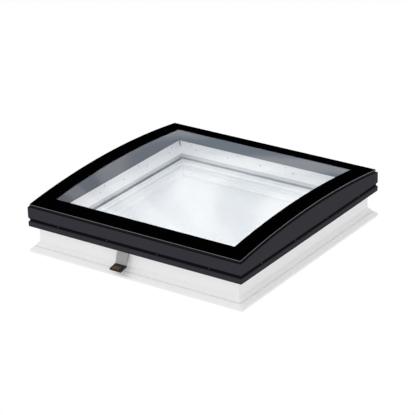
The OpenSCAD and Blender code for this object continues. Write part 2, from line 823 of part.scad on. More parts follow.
module hinge_frame_screws() {
    face = wall_inset - leaf_t;
    color(zinc_grey) on_side("rear") for (hand = [-1, 1]) {
        leaf_screw_rods(hand, base_screw_z, leaf_screw_d, face, face + leaf_screw_len);
        leaf_screw_rods(hand, base_screw_z, leaf_head_d, face - leaf_head_t, face);
    }
}

module hinge_sash_leaf(hand) {
    half = hinge_w / 2;
    face = sash_inset - leaf_t;
    color(zinc_grey) on_side("rear") difference() {
        union() {
            translate([hand * hinge_x - half, face, sash_leaf_low_z]) cube([hinge_w, leaf_t, sash_leaf_h]);
            translate([hand * hinge_x - sash_knuckle_w / 2, 0, 0]) {
                rod_along(0, sash_knuckle_w, axis_inset, axis_z, knuckle_d);
                translate([0, face, sash_leaf_low_z]) cube([sash_knuckle_w, axis_inset - face, leaf_t]);
            }
        }
        rod_along(-glass_x, glass_x, axis_inset, axis_z, hinge_pin_d + 2 * hinge_pin_gap);
        leaf_screw_rods(hand, sash_screw_z, leaf_screw_d, face - overrun, sash_inset + overrun);
    }
}

module hinge_sash_screws() {
    face = sash_inset - leaf_t;
    color(zinc_grey) on_side("rear") for (hand = [-1, 1]) {
        leaf_screw_rods(hand, sash_screw_z, leaf_screw_d, face, face + leaf_screw_len);
        leaf_screw_rods(hand, sash_screw_z, leaf_head_d, face - leaf_head_t, face);
    }
}

// The sash's section, from its outer face round to the lip and up the glazing rebate
module sash_section() {
    polygon([
        [sash_inset, sash_low_z], [sash_inset, sash_top_z],
        [trim_seat_inset, sash_top_z], [trim_seat_inset, bead_top_z],
        [rebate_inset, bead_top_z], [rebate_inset, lip_top_z],
        [lip_inset, lip_top_z], [lip_inset, lip_low_z],
        [lip_outer_inset, lip_low_z], [lip_outer_inset, sash_low_z]
    ]);
}

module sash_frame() {
    color(white) mitred_ring() sash_section();
}

module glazing_gasket() {
    color(rubber_grey) flat_ring(unit_inset, lip_inset, lip_top_z, pane_low_z);
}

module setting_blocks() {
    color(black) for (side = sides, s = [-1, 1]) on_side(side)
        translate([s * run_half(side) / 2 - block_len / 2, rebate_inset, lip_top_z])
            cube([block_len, unit_gap, unit_top_z - lip_top_z]);
}

module inner_pane() {
    color(clear_glass) flat_pane(unit_inset, pane_low_z);
}

module outer_pane() {
    color(clear_glass) flat_pane(unit_inset, pane_up_z);
}

module spacer_bar() {
    color(steel_grey) flat_ring(spacer_inset - spacer_w, spacer_inset, spacer_low_z, pane_up_z);
}

module edge_seal() {
    color(dark_grey) flat_ring(unit_inset, spacer_inset - spacer_w, spacer_low_z, pane_up_z);
}

module bead(side) {
    color(white) mitred_bar(side) polygon(rounded([
        [rebate_inset, unit_top_z, 0], [bead_inset, unit_top_z, 0],
        [bead_top_inset, bead_top_z, bead_edge_r], [rebate_inset, bead_top_z, 0]
    ]));
}

module trim(side) {
    color(white) mitred_bar(side, trim_joint) polygon(rounded([
        [trim_seat_inset, bead_top_z, 0], [bead_top_inset, bead_top_z, bead_edge_r],
        [trim_top_inset, sash_top_z, bead_edge_r], [trim_seat_inset, sash_top_z, 0]
    ]));
}

// A row of pins square to a sloping face, given by its lower and upper edge in section
module face_pins(count, pitch, low, high, place_share) {
    point = low + place_share * (high - low);
    tilt = atan2(low[0] - high[0], high[1] - low[1]);
    for (side = sides) on_side(side) for (x = row(count, pitch))
        translate([x, point[0], point[1]]) rotate([90 + tilt, 0, 0])
            translate([0, 0, -pin_screw_proud]) cylinder(h = pin_screw_len, d = pin_screw_d, $fn = round_fn);
}

// Places of the screws up the faces of the beads and trims
bead_screw_share = 0.86;
trim_screw_share = 0.6;

module bead_screws() {
    color(black_steel) face_pins(bead_screw_count, bead_screw_pitch, [bead_inset, unit_top_z],
        [bead_top_inset, bead_top_z], bead_screw_share);
}

module trim_screws() {
    color(black_steel) face_pins(trim_screw_count, trim_screw_pitch, [bead_top_inset, bead_top_z],
        [trim_top_inset, sash_top_z], trim_screw_share);
}

// The cover's inner profile: a foot on the sash, a wall up to the glass and a flange under the seal
module skirt(side) {
    wall_out = skirt_inset - skirt_wall;
    color(blue_grey) {
        mitred_bar(side)
            section_box(skirt_inset - skirt_foot_w, skirt_inset, sash_top_z, sash_top_z + skirt_wall);
        intersection() {
            mitred_bar(side) section_box(wall_out, skirt_inset, sash_top_z, crown_z);
            below_arch(border_drop + skirt_room);
        }
        intersection() {
            mitred_bar(side) section_box(clad_flange_inset, skirt_inset, sash_top_z, crown_z);
            arch_layer(bond_drop, flange_drop);
        }
    }
}

// The cladding's wall in section: upper face, groove and lower strip, the same wall all the way
module cladding_wall_section() {
    face = rounded([
        [-clad_out, crown_z, 0], [-clad_out, groove_top_z, groove_round_r], [groove_inset, groove_up_z, 0],
        [groove_inset, groove_flat_z, 0], [-clad_out, groove_low_z, strip_edge_r],
        [strip_setback - clad_out, clad_low_z, 0]
    ]);
    last = len(face) - 1;
    back = [for (i = [0:last]) face[last - i] + [clad_wall, 0]];
    polygon(concat(face, back));
}

// Rods at the places of a side's cladding screws
module clad_screw_rods(side, d, inset_a, inset_b) {
    on_side(side) for (x = row(clad_screw_count, clad_screw_pitch))
        rod_across(x, groove_mid_z, d, inset_a, inset_b);
}

module cladding(side) {
    color(dark_grey) difference() {
        union() {
            intersection() {
                mitred_bar(side) cladding_wall_section();
                below_arch(bond_drop);
            }
            intersection() {
                mitred_bar(side) section_box(-clad_out, clad_flange_inset, groove_top_z, crown_z);
                arch_layer(bond_drop, flange_drop);
            }
        }
        clad_screw_rods(side, clad_shank_d + 2 * clad_hole_gap, groove_inset - overrun, sash_inset);
    }
}

module cladding_screws() {
    color(black_steel) for (side = sides) {
        clad_screw_rods(side, clad_head_d, groove_inset - clad_head_t, groove_inset);
        clad_screw_rods(side, clad_shank_d, groove_inset, groove_inset + clad_shank_len);
    }
}

// An angle behind each corner of the cladding
module corner_cleats() {
    half = [glass_x / 2 - clad_inner_inset, glass_y / 2 - clad_inner_inset];
    color(zinc_grey) for (sx = [-1, 1], sy = [-1, 1])
        translate([sx * half[0], sy * half[1], cleat_mid_z - cleat_h / 2])
            mirror([sx > 0 ? 1 : 0, 0, 0]) mirror([0, sy > 0 ? 1 : 0, 0]) linear_extrude(cleat_h) {
                square([cleat_leg, cleat_t]);
                square([cleat_t, cleat_leg]);
            }
}

module bonding_seal() {
    color(black) intersection() {
        arch_layer(border_drop, bond_drop);
        through_arch() difference() {
            plan_panel(bond_inset, glass_corner_r);
            plan_panel(bond_inset + bond_w, glass_corner_r);
        }
    }
}

module glass_border() {
    color(black) intersection() {
        arch_layer(glass_t, border_drop);
        through_arch() difference() {
            plan_panel(0, glass_corner_r);
            plan_panel(border_w, border_corner_r);
        }
    }
}

module cover_glass() {
    color(clear_glass) intersection() {
        arch_layer(0, glass_t);
        through_arch() plan_panel(0, glass_corner_r);
    }
}

base_frame();
frame_seal();
drive_housing();
drive_cap(-1);  // drive_cap_left
drive_cap(1);  // drive_cap_right
drive_cover();
drive_cover_screws();
drive_chain();
sensor_strip();
sensor_plate();
sensor_pad();
sensor_screws();
hinge_frame_leaf(1);  // hinge_frame_leaf_left
hinge_frame_leaf(-1);  // hinge_frame_leaf_right
hinge_pin(1);  // hinge_pin_left
hinge_pin(-1);  // hinge_pin_right
hinge_frame_screws();
sash_frame();
glazing_gasket();
setting_blocks();
inner_pane();
spacer_bar();
edge_seal();
outer_pane();
bead("front");  // bead_front
bead("right");  // bead_right
bead("rear");  // bead_rear
bead("left");  // bead_left
bead_screws();
trim("front");  // trim_front
trim("right");  // trim_right
trim("rear");  // trim_rear
trim("left");  // trim_left
trim_screws();
skirt("front");  // skirt_front
skirt("right");  // skirt_right
skirt("rear");  // skirt_rear
skirt("left");  // skirt_left
cladding("front");  // cladding_front
cladding("right");  // cladding_right
cladding("rear");  // cladding_rear
cladding("left");  // cladding_left
cladding_screws();
corner_cleats();
bonding_seal();
glass_border();
cover_glass();
hinge_sash_leaf(1);  // hinge_sash_leaf_left
hinge_sash_leaf(-1);  // hinge_sash_leaf_right
hinge_sash_screws();
chain_bracket();
chain_head_pin();
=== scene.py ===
"""Dresses an opening flat-roof skylight: its finishes, arched glass, screws, push chain and rain sensor.

Lengths are in metres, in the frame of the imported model. +Z is up, and -Y is the front, which lifts.
"""
import json
import logging
import math
from dataclasses import dataclass, field
from enum import Enum
from typing import Any, Callable, ClassVar, Sequence

import bpy
import numpy as np
from mathutils import Matrix, Vector

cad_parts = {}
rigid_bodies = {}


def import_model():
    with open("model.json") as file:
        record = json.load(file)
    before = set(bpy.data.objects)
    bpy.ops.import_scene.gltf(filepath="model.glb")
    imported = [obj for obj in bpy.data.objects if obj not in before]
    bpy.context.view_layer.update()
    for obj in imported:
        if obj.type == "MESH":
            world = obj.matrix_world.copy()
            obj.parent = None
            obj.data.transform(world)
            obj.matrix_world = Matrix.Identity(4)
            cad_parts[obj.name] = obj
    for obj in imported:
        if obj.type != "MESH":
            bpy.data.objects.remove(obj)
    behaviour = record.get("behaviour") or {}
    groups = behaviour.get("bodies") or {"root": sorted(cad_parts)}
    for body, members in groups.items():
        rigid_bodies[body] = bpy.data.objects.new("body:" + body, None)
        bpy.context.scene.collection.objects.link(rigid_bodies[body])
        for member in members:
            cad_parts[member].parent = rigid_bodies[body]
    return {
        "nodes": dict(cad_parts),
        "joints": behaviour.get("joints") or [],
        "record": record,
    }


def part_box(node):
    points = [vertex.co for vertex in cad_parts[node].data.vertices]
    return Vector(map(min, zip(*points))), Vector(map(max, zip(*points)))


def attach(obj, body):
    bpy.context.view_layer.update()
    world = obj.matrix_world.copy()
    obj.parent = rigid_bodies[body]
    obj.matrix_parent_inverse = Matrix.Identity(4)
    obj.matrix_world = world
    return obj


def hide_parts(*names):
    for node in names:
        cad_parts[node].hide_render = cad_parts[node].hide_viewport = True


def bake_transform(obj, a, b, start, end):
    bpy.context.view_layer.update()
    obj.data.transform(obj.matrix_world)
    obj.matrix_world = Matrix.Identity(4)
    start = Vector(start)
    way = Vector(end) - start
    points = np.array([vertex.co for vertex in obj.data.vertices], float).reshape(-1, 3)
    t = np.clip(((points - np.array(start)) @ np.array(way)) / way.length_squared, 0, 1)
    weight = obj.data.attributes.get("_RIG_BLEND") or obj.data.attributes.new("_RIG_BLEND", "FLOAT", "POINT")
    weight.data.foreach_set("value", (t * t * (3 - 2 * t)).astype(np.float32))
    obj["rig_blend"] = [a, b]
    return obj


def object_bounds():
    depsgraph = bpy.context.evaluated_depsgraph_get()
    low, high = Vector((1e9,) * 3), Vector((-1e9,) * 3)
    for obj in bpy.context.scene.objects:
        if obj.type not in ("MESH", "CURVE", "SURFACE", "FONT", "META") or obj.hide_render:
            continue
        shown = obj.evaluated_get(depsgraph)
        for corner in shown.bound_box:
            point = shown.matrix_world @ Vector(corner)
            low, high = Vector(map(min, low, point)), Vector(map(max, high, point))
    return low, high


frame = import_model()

CAD_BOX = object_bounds()
MM = 0.001
LOG = logging.getLogger("skylight")

# A primitive's side before it is scaled, and the decimals at which a CAD node's points are one.
UNIT = 1.0
POINT_DIGITS = 6
# The share of its direction from which a face looks along an axis, and up to which an edge lies across it.
LOOKS_ALONG = 0.9
LIES_ACROSS = 0.1
FULL_TURN_DEG = 360.0
WHITE = (1.0, 1.0, 1.0, 1.0)

Colour = tuple[float, float, float]
Place = tuple[float, float, float]
Socket = bpy.types.NodeSocket


class Pick(Enum):
    """What an edit selects."""

    VERT = "VERT"
    EDGE = "EDGE"
    FACE = "FACE"


class Bench:
    """The bench on which pieces are modelled, one at a time, with nothing else selected."""

    SMOOTH_DEG: ClassVar[float] = 35.0

    @staticmethod
    def clear() -> None:
        """Leaves edit mode and deselects every object."""
        held = bpy.context.view_layer.objects.active
        if held is not None and held.mode != "OBJECT":
            bpy.ops.object.mode_set(mode="OBJECT")
        for piece in bpy.context.view_layer.objects:
            piece.select_set(False)

    @staticmethod
    def hold(*pieces: bpy.types.Object) -> None:
        """Selects only the given pieces.

        Args:
            *pieces: The pieces, of which the first becomes the active one.
        """
        Bench.clear()
        for piece in pieces:
            piece.select_set(True)
        bpy.context.view_layer.objects.active = pieces[0]

    @staticmethod
    def add(name: str, primitive: Callable[..., Any], **settings: Any) -> bpy.types.Object:
        """Adds a primitive.

        Args:
            name: The new piece's name.
            primitive: The operator that adds it.
            **settings: The operator's own settings.

        Returns:
            The new piece.
        """
        Bench.clear()
        primitive(**settings)
        piece = bpy.context.view_layer.objects.active
        piece.name = name
        piece.data.name = name
        return piece

    @staticmethod
    def edit(piece: bpy.types.Object, pick: Pick,
             test: Callable[[Vector, Vector], bool] | None = None) -> None:
        """Opens a piece in edit mode, with the elements that pass a test selected.

        Args:
            piece: The piece to open.
            pick: The kind of element.
            test: Takes an element's place and direction. A face or vertex has its normal, and an edge its
                own direction. With no test, everything is selected.
        """
        Bench.hold(piece)
        bpy.ops.object.mode_set(mode="EDIT")
        bpy.ops.mesh.select_mode(type=pick.value)
        bpy.ops.mesh.select_all(action="SELECT" if test is None else "DESELECT")
        if test is None:
            return
        bpy.ops.object.mode_set(mode="OBJECT")
        mesh = piece.data
        if pick is Pick.FACE:
            for face in mesh.polygons:
                face.select = test(face.center, face.normal)
        elif pick is Pick.VERT:
            for vertex in mesh.vertices:
                vertex.select = test(vertex.co, vertex.normal)
        else:
            for edge in mesh.edges:
                first, last = (mesh.vertices[i].co for i in edge.vertices)
                edge.select = test((first + last) / 2, (last - first).normalized())
        bpy.ops.object.mode_set(mode="EDIT")

    @staticmethod
    def done() -> None:
        """Goes back to object mode."""
        bpy.ops.object.mode_set(mode="OBJECT")

    @staticmethod
    def apply(piece: bpy.types.Object, kind: str, **settings: Any) -> None:
        """Adds a modifier to a piece and applies it.

        Args:
            piece: The piece.
            kind: The modifier's type.
            **settings: The modifier's own settings.
        """
        Bench.hold(piece)
        modifier = piece.modifiers.new(kind.title(), kind)
        for key, value in settings.items():
            setattr(modifier, key, value)
        bpy.ops.object.modifier_apply(modifier=modifier.name)

    @staticmethod
    def copy(piece: bpy.types.Object, place: Matrix) -> bpy.types.Object:
        """Copies a piece.

        Args:
            piece: The pattern.
            place: The copy's place, turn and scale, which go into its mesh.

        Returns:
            The copy, with a mesh of its own.
        """
        twin = piece.copy()
        twin.data = piece.data.copy()
        bpy.context.scene.collection.objects.link(twin)
        twin.data.transform(place)
        return twin

    @staticmethod
    def join(name: str, pieces: Sequence[bpy.types.Object]) -> bpy.types.Object:
        """Joins pieces into one.

        Args:
            name: The whole piece's name.
            pieces: The pieces, of which the first takes in the others.

        Returns:
            The whole piece.
        """
        Bench.hold(*pieces)
        if len(pieces) > 1:
            bpy.ops.object.join()
        whole = pieces[0]
        whole.name = name
        whole.data.name = name
        return whole

    @staticmethod
    def smooth(piece: bpy.types.Object, angle_deg: float = SMOOTH_DEG) -> None:
        """Smooths the shading over a piece's soft edges."""
        Bench.hold(piece)
        bpy.ops.object.shade_smooth_by_angle(angle=math.radians(angle_deg))

    @staticmethod
    def settle(piece: bpy.types.Object) -> None:
        """Applies a piece's place, points its faces outwards and smooths its soft edges.

        Args:
            piece: The finished piece.
        """
        Bench.hold(piece)
        bpy.ops.object.transform_apply(location=True, rotation=True, scale=True)
        Bench.edit(piece, Pick.FACE)
        bpy.ops.mesh.normals_make_consistent(inside=False)
        Bench.done()
        Bench.smooth(piece)

    @staticmethod
    def discard(piece: bpy.types.Object) -> None:
        """Removes a pattern piece that has been copied."""
        bpy.data.objects.remove(piece, do_unlink=True)


class Tree:
    """A shader node tree, with short calls that add nodes and join them."""

    def __init__(self, tree: bpy.types.NodeTree) -> None:
        """Takes the tree and empties it."""
        self.tree = tree
        self.tree.nodes.clear()

    def add(self, kind: str, inputs: dict[Any, Any] | None = None, **settings: Any) -> bpy.types.Node:
        """Adds a node.

        Args:
            kind: The node's type, without its ShaderNode prefix, or with its own prefix.
            inputs: Values or other nodes' output sockets, by input name or number.
            **settings: The node's own settings.

        Returns:
            The new node.
        """
        node = self.tree.nodes.new(kind if kind.startswith("Node") else "ShaderNode" + kind)
        for key, value in settings.items():
            setattr(node, key, value)
        for key, value in (inputs or {}).items():
            if isinstance(value, Socket):
                self.tree.links.new(value, node.inputs[key])
            else:
                node.inputs[key].default_value = value
        return node

    def math(self, operation: str, *values: Any) -> Socket:
        """Adds a Math node and returns its result."""
        return self.add("Math", dict(enumerate(values)), operation=operation).outputs[0]


class Effect(Enum):
    """The surface effects, each a node group that puts out a mask."""

    EXTRUSION = "extrusion_lines"
    GRAIN = "fine_grain"
    CLOUD = "soft_cloud"
    BRUSH_X = "brush_along_x"
    SEAM = "mitre_seam"
    DOTS = "spacer_dots"
    # Painted shade: darkens the cladding's groove by its depth, in place of the shadow there.
    RECESS = "recess_shade"
    # Painted shade: darkens the sensor strip's cut edges.
    EDGES = "strip_edges"


class EffectBook:
    """Builds each effect's node group once."""

    STRETCH: ClassVar[dict[Effect, Place]] = {
        Effect.EXTRUSION: (0.004, 0.004, 1.0),
        Effect.GRAIN: (1.0, 1.0, 1.0),
        Effect.CLOUD: (1.0, 1.0, 1.0),
        Effect.BRUSH_X: (0.02, 1.0, 1.0),
    }
    DETAIL: ClassVar[dict[Effect, float]] = {
        Effect.EXTRUSION: 4.0, Effect.GRAIN: 2.0, Effect.CLOUD: 1.0, Effect.BRUSH_X: 5.0,
    }
    NOISE_ROUGHNESS: ClassVar[float] = 0.6

    def __init__(self) -> None:
        """Starts with no groups."""
        self.groups: dict[Effect, bpy.types.NodeTree] = {}

    def group(self, effect: Effect) -> bpy.types.NodeTree:
        """Finds an effect's group, and builds it on its first use.

        Args:
            effect: The effect.

        Returns:
            Its group.
        """
        if effect not in self.groups:
            self.groups[effect] = self.build(effect)
        return self.groups[effect]

    def build(self, effect: Effect) -> bpy.types.NodeTree:
        """Builds a group that turns Object coordinates into a mask from 0 to 1.

        Args:
            effect: The effect to build.

        Returns:
            The group, with the input Scale and the output Mask.
        """
        made = bpy.data.node_groups.new(effect.value, "ShaderNodeTree")
        made.interface.new_socket("Scale", in_out="INPUT", socket_type="NodeSocketFloat")
        made.interface.new_socket("Mask", in_out="OUTPUT", socket_type="NodeSocketFloat")
        tree = Tree(made)
        scale = tree.add("NodeGroupInput").outputs["Scale"]
        place = tree.add("TexCoord").outputs["Object"]
        if effect is Effect.SEAM:
            mask = self.seam(tree, place, scale)
        elif effect is Effect.DOTS:
            mask = self.dots(tree, place, scale)
        elif effect is Effect.RECESS:
            mask = self.recess(tree, place, scale)
        elif effect is Effect.EDGES:
            mask = self.edges(tree, place, scale)
        else:
            stretched = tree.add("Mapping", {"Vector": place, "Scale": self.STRETCH[effect]})
            noise = tree.add("TexNoise", {
                "Vector": stretched.outputs["Vector"], "Scale": scale, "Detail": self.DETAIL[effect],
                "Roughness": self.NOISE_ROUGHNESS,
            })
            mask = noise.outputs["Fac"]
        tree.add("NodeGroupOutput", {"Mask": mask})
        return made

    @staticmethod
    def seam(tree: Tree, place: Socket, scale: Socket) -> Socket:
        """Leaves out the mitre lines across the four corners, where x and y are equally far out.

        Args:
            tree: The group's tree.
            place: The Object coordinates.
            scale: One over a line's half width.

        Returns:
            The mask, which is 0 on the lines.
        """
        axes = tree.add("SeparateXYZ", {"Vector": place})
        off = tree.math("ABSOLUTE", tree.math(
            "SUBTRACT", tree.math("ABSOLUTE", axes.outputs["X"]), tree.math("ABSOLUTE", axes.outputs["Y"])))
        return tree.math("MINIMUM", tree.math("MULTIPLY", off, scale), 1.0)

    @staticmethod
    def recess(tree: Tree, place: Socket, scale: Socket) -> Socket:
        """Paints shade into the groove of the cladding, darker with its depth behind the outer faces: painted
        shadow in place of the shade that falls there.

        Args:
            tree: The group's tree.
            place: The Object coordinates.
            scale: One over the depth of full shade.

        Returns:
            The mask, from 1 on the faces to 0 in the groove.
        """
        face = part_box("cladding_right")[1].x
        axes = tree.add("SeparateXYZ", {"Vector": place})
        out = tree.math(
            "MAXIMUM", tree.math("ABSOLUTE", axes.outputs["X"]), tree.math("ABSOLUTE", axes.outputs["Y"]))
        deep = tree.math("MULTIPLY", tree.math("SUBTRACT", face, out), scale)
        return tree.math("MAXIMUM", tree.math("SUBTRACT", 1.0, deep), 0.0)

    @staticmethod
    def edges(tree: Tree, place: Socket, scale: Socket) -> Socket:
        """Paints shade on the sensor strip's cut edges, near both of its sides.

        Args:
            tree: The group's tree.
            place: The Object coordinates.
            scale: One over the shade's width.

        Returns:
            The mask, from 1 on the faces to 0 on the edges.
        """
        low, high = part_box("sensor_strip")
        axes = tree.add("SeparateXYZ", {"Vector": place})
        off = tree.math("ABSOLUTE", tree.math("SUBTRACT", axes.outputs["X"], (low.x + high.x) / 2))
        room = tree.math("MULTIPLY", tree.math("SUBTRACT", (high.x - low.x) / 2, off), scale)
        return tree.math("MINIMUM", tree.math("MAXIMUM", room, 0.0), 1.0)

    @staticmethod
    def dots(tree: Tree, place: Socket, scale: Socket) -> Socket:
        """Marks a row of fine holes along a bar, by the sum of x and y, which grows along every side.

        Args:
            tree: The group's tree.
            place: The Object coordinates.
            scale: The holes in each metre.

        Returns:
            The mask, a wave from 0 to 1.
        """
        axes = tree.add("SeparateXYZ", {"Vector": place})
        along = tree.math("MULTIPLY", tree.math("ADD", axes.outputs["X"], axes.outputs["Y"]), scale)
        wave = tree.math("SINE", tree.math("MULTIPLY", along, 2 * math.pi))
        return tree.math("MULTIPLY_ADD", wave, 0.5, 0.5)


@dataclass(frozen=True)
class Use:
    """One effect as a finish uses it."""

    effect: Effect
    scale: float
    colour: float = 0.0
    dark: float = 0.0
    rough: float = 0.0
    bump: float = 0.0


@dataclass(frozen=True)
class Finish:
    """An opaque finish: a colour and a gloss, varied by effects.

    Each effect's colour and rough are the share and the amount by which its mask changes them, both ways.
    Its dark is the share by which a mask of 0 darkens the colour, and its bump is a height in metres.
    """

    name: str
    colour: Colour
    roughness: float
    metallic: float = 0.0
    specular: float = 0.5
    uses: tuple[Use, ...] = ()

    def make(self, book: EffectBook) -> bpy.types.Material:
        """Makes the material.

        Args:
            book: Where the effects' groups are.

        Returns:
            The material.
        """
        material = bpy.data.materials.new(self.name)
        material.use_nodes = True
        tree = Tree(material.node_tree)
        shader = tree.add("BsdfPrincipled", {
            "Base Color": (*self.colour, 1.0), "Roughness": self.roughness, "Metallic": self.metallic,
            "Specular IOR Level": self.specular,
        })
        tree.add("OutputMaterial", {"Surface": shader.outputs["BSDF"]})
        tone: Any = None
        rough: Any = None
        normal: Any = None
        for use in self.uses:
            group = tree.add("Group", node_tree=book.group(use.effect))
            group.inputs["Scale"].default_value = use.scale
            mask = group.outputs["Mask"]
            if use.colour:
                share = tree.math("MULTIPLY_ADD", mask, 2 * use.colour, 1 - use.colour)
                tone = share if tone is None else tree.math("MULTIPLY", tone, share)
            if use.dark:
                share = tree.math("MULTIPLY_ADD", mask, use.dark, 1 - use.dark)
                tone = share if tone is None else tree.math("MULTIPLY", tone, share)
            if use.rough:
                change = tree.math("MULTIPLY_ADD", mask, 2 * use.rough, -use.rough)
                rough = tree.math("ADD", self.roughness if rough is None else rough, change)
            if use.bump:
                settings = {"Height": mask, "Distance": use.bump, "Strength": 1.0}
                if normal is not None:
                    settings["Normal"] = normal
                normal = tree.add("Bump", settings).outputs["Normal"]
        if tone is not None:
            paint = tree.add("VectorMath", {0: self.colour, "Scale": tone}, operation="SCALE")
            tree.tree.links.new(paint.outputs["Vector"], shader.inputs["Base Color"])
        if rough is not None:
            tree.tree.links.new(rough, shader.inputs["Roughness"])
        if normal is not None:
            tree.tree.links.new(normal, shader.inputs["Normal"])
        return material


@dataclass(frozen=True)
class GlassFinish:
    """Clear float glass, which lets lamps shine through it."""

    name: str
    tint: Colour
    ior: float = 1.5
    roughness: float = 0.0

    def make(self, book: EffectBook) -> bpy.types.Material:
        """Makes the material, with clear passage for shadow rays and for the light between surfaces.

        Args:
            book: Where the effects' groups are. The glass needs none of them.

        Returns:
            The material.
        """
        material = bpy.data.materials.new(self.name)
        material.use_nodes = True
        tree = Tree(material.node_tree)
        glass = tree.add("BsdfPrincipled", {
            "Base Color": (*self.tint, 1.0), "Roughness": self.roughness, "IOR": self.ior,
            "Transmission Weight": 1.0,
        })
        clear = tree.add("BsdfTransparent", {"Color": (*self.tint, 1.0)})
        path = tree.add("LightPath").outputs
        light = tree.math("MAXIMUM", path["Is Shadow Ray"], path["Is Diffuse Ray"])
        mix = tree.add("MixShader", {0: light, 1: glass.outputs["BSDF"], 2: clear.outputs["BSDF"]})
        tree.add("OutputMaterial", {"Surface": mix.outputs["Shader"]})
        return material


class Paints:
    """The finishes of the skylight, by the record's material slots."""

    SLOTS: ClassVar[dict[str, Finish | GlassFinish]] = {
        "white_pvc": Finish("white_pvc", (0.93, 0.93, 0.935), 0.38, uses=(
            Use(Effect.EXTRUSION, 900.0, colour=0.012, rough=0.05, bump=0.00002),
            Use(Effect.CLOUD, 9.0, colour=0.012, rough=0.04),
            Use(Effect.SEAM, 1600.0, dark=0.1, bump=0.0002),
        )),
        "black_rubber": Finish("black_rubber", (0.016, 0.016, 0.017), 0.75, specular=0.3, uses=(
            Use(Effect.GRAIN, 900.0, colour=0.2, rough=0.08, bump=0.00006),
        )),
        "grey_gasket": Finish("grey_gasket", (0.10, 0.125, 0.155), 0.65, uses=(
            Use(Effect.GRAIN, 900.0, colour=0.1, rough=0.06, bump=0.00005),
        )),
        "black_plastic": Finish("black_plastic", (0.008, 0.008, 0.009), 0.48, specular=0.4, uses=(
            Use(Effect.GRAIN, 1500.0, colour=0.2, rough=0.08, bump=0.00005),
        )),
        "copper_pad": Finish("copper_pad", (0.125, 0.047, 0.011), 0.42, uses=(
            Use(Effect.GRAIN, 600.0, colour=0.2, rough=0.1, bump=0.00003),
        )),
        "spacer_metal": Finish("spacer_metal", (0.62, 0.63, 0.645), 0.5, metallic=0.2, uses=(
            Use(Effect.DOTS, 160.0, colour=0.06, bump=0.00015),
            Use(Effect.EXTRUSION, 1200.0, colour=0.05, rough=0.06),
        )),
        "clear_glass": GlassFinish("clear_glass", (0.994, 0.998, 1.0)),
        "black_print": Finish("black_print", (0.0005, 0.0005, 0.0006), 0.6, specular=0.0, uses=(
            Use(Effect.GRAIN, 1200.0, colour=0.3),
        )),
        "grey_skirt": Finish("grey_skirt", (0.082, 0.086, 0.1), 0.45, specular=0.2, uses=(
            Use(Effect.EXTRUSION, 150.0, colour=0.6, rough=0.1),
            Use(Effect.CLOUD, 5.0, colour=0.15),
            Use(Effect.GRAIN, 1400.0, bump=0.00002),
        )),
        "dark_cladding": Finish("dark_cladding", (0.0383, 0.0369, 0.0455), 0.5, specular=0.01, uses=(
            # Painted shade in the groove of the cladding, darker with depth.
            Use(Effect.RECESS, 260.0, dark=0.85),
            Use(Effect.GRAIN, 1100.0, colour=0.12, rough=0.05, bump=0.00006),
            Use(Effect.CLOUD, 6.0, colour=0.08, rough=0.03),
        )),
        "mill_aluminium": Finish("mill_aluminium", (0.65, 0.65, 0.66), 0.36, metallic=1.0, uses=(
            Use(Effect.BRUSH_X, 900.0, colour=0.12, rough=0.1, bump=0.00002),
        )),
        "chain_steel": Finish("chain_steel", (0.42, 0.42, 0.43), 0.32, metallic=1.0, uses=(
            Use(Effect.GRAIN, 700.0, colour=0.2, rough=0.1),
        )),
        "strip_steel": Finish("strip_steel", (0.47, 0.465, 0.455), 0.45, metallic=0.5, uses=(
            # Painted shade on the strip's cut edges, almost black at both sides.
            Use(Effect.EDGES, 1200.0, dark=0.96),
            Use(Effect.BRUSH_X, 1300.0, colour=0.12, rough=0.1, bump=0.00002),
            Use(Effect.CLOUD, 60.0, colour=0.06),
        )),
        "black_steel": Finish("black_steel", (0.05, 0.05, 0.055), 0.4, metallic=0.5, uses=(
            Use(Effect.GRAIN, 1400.0, colour=0.2, rough=0.1),
        )),
        "zinc_steel": Finish("zinc_steel", (0.6, 0.61, 0.63), 0.34, metallic=1.0, uses=(
            Use(Effect.CLOUD, 260.0, colour=0.14, rough=0.12),
            Use(Effect.GRAIN, 1400.0, bump=0.00002),
        )),
    }
    EDGE: ClassVar[Finish] = Finish("ground_glass_edge", (0.115, 0.118, 0.121), 0.35, uses=(
        Use(Effect.GRAIN, 1500.0, colour=0.2, rough=0.1),
    ))

    def __init__(self) -> None:
        """Makes every finish once."""
        book = EffectBook()
        self.made = {slot: finish.make(book) for slot, finish in self.SLOTS.items()}
        self.edge = self.EDGE.make(book)

    def dress(self, piece: bpy.types.Object, slot: str) -> None:
        """Gives a piece the one finish of a slot."""
        piece.data.materials.clear()
        piece.data.materials.append(self.made[slot])

    def dress_frame(self) -> None:
        """Gives each CAD node the finish of its slot in the record."""
        for part in frame["record"]["subparts"]:
            self.dress(frame["nodes"][part["node"]], part["material_slot"])


class Zone(Enum):
    """The finishes on the cover glass, by the number of their material."""

    CLEAR = 0
    PRINTED = 1
    GROUND = 2


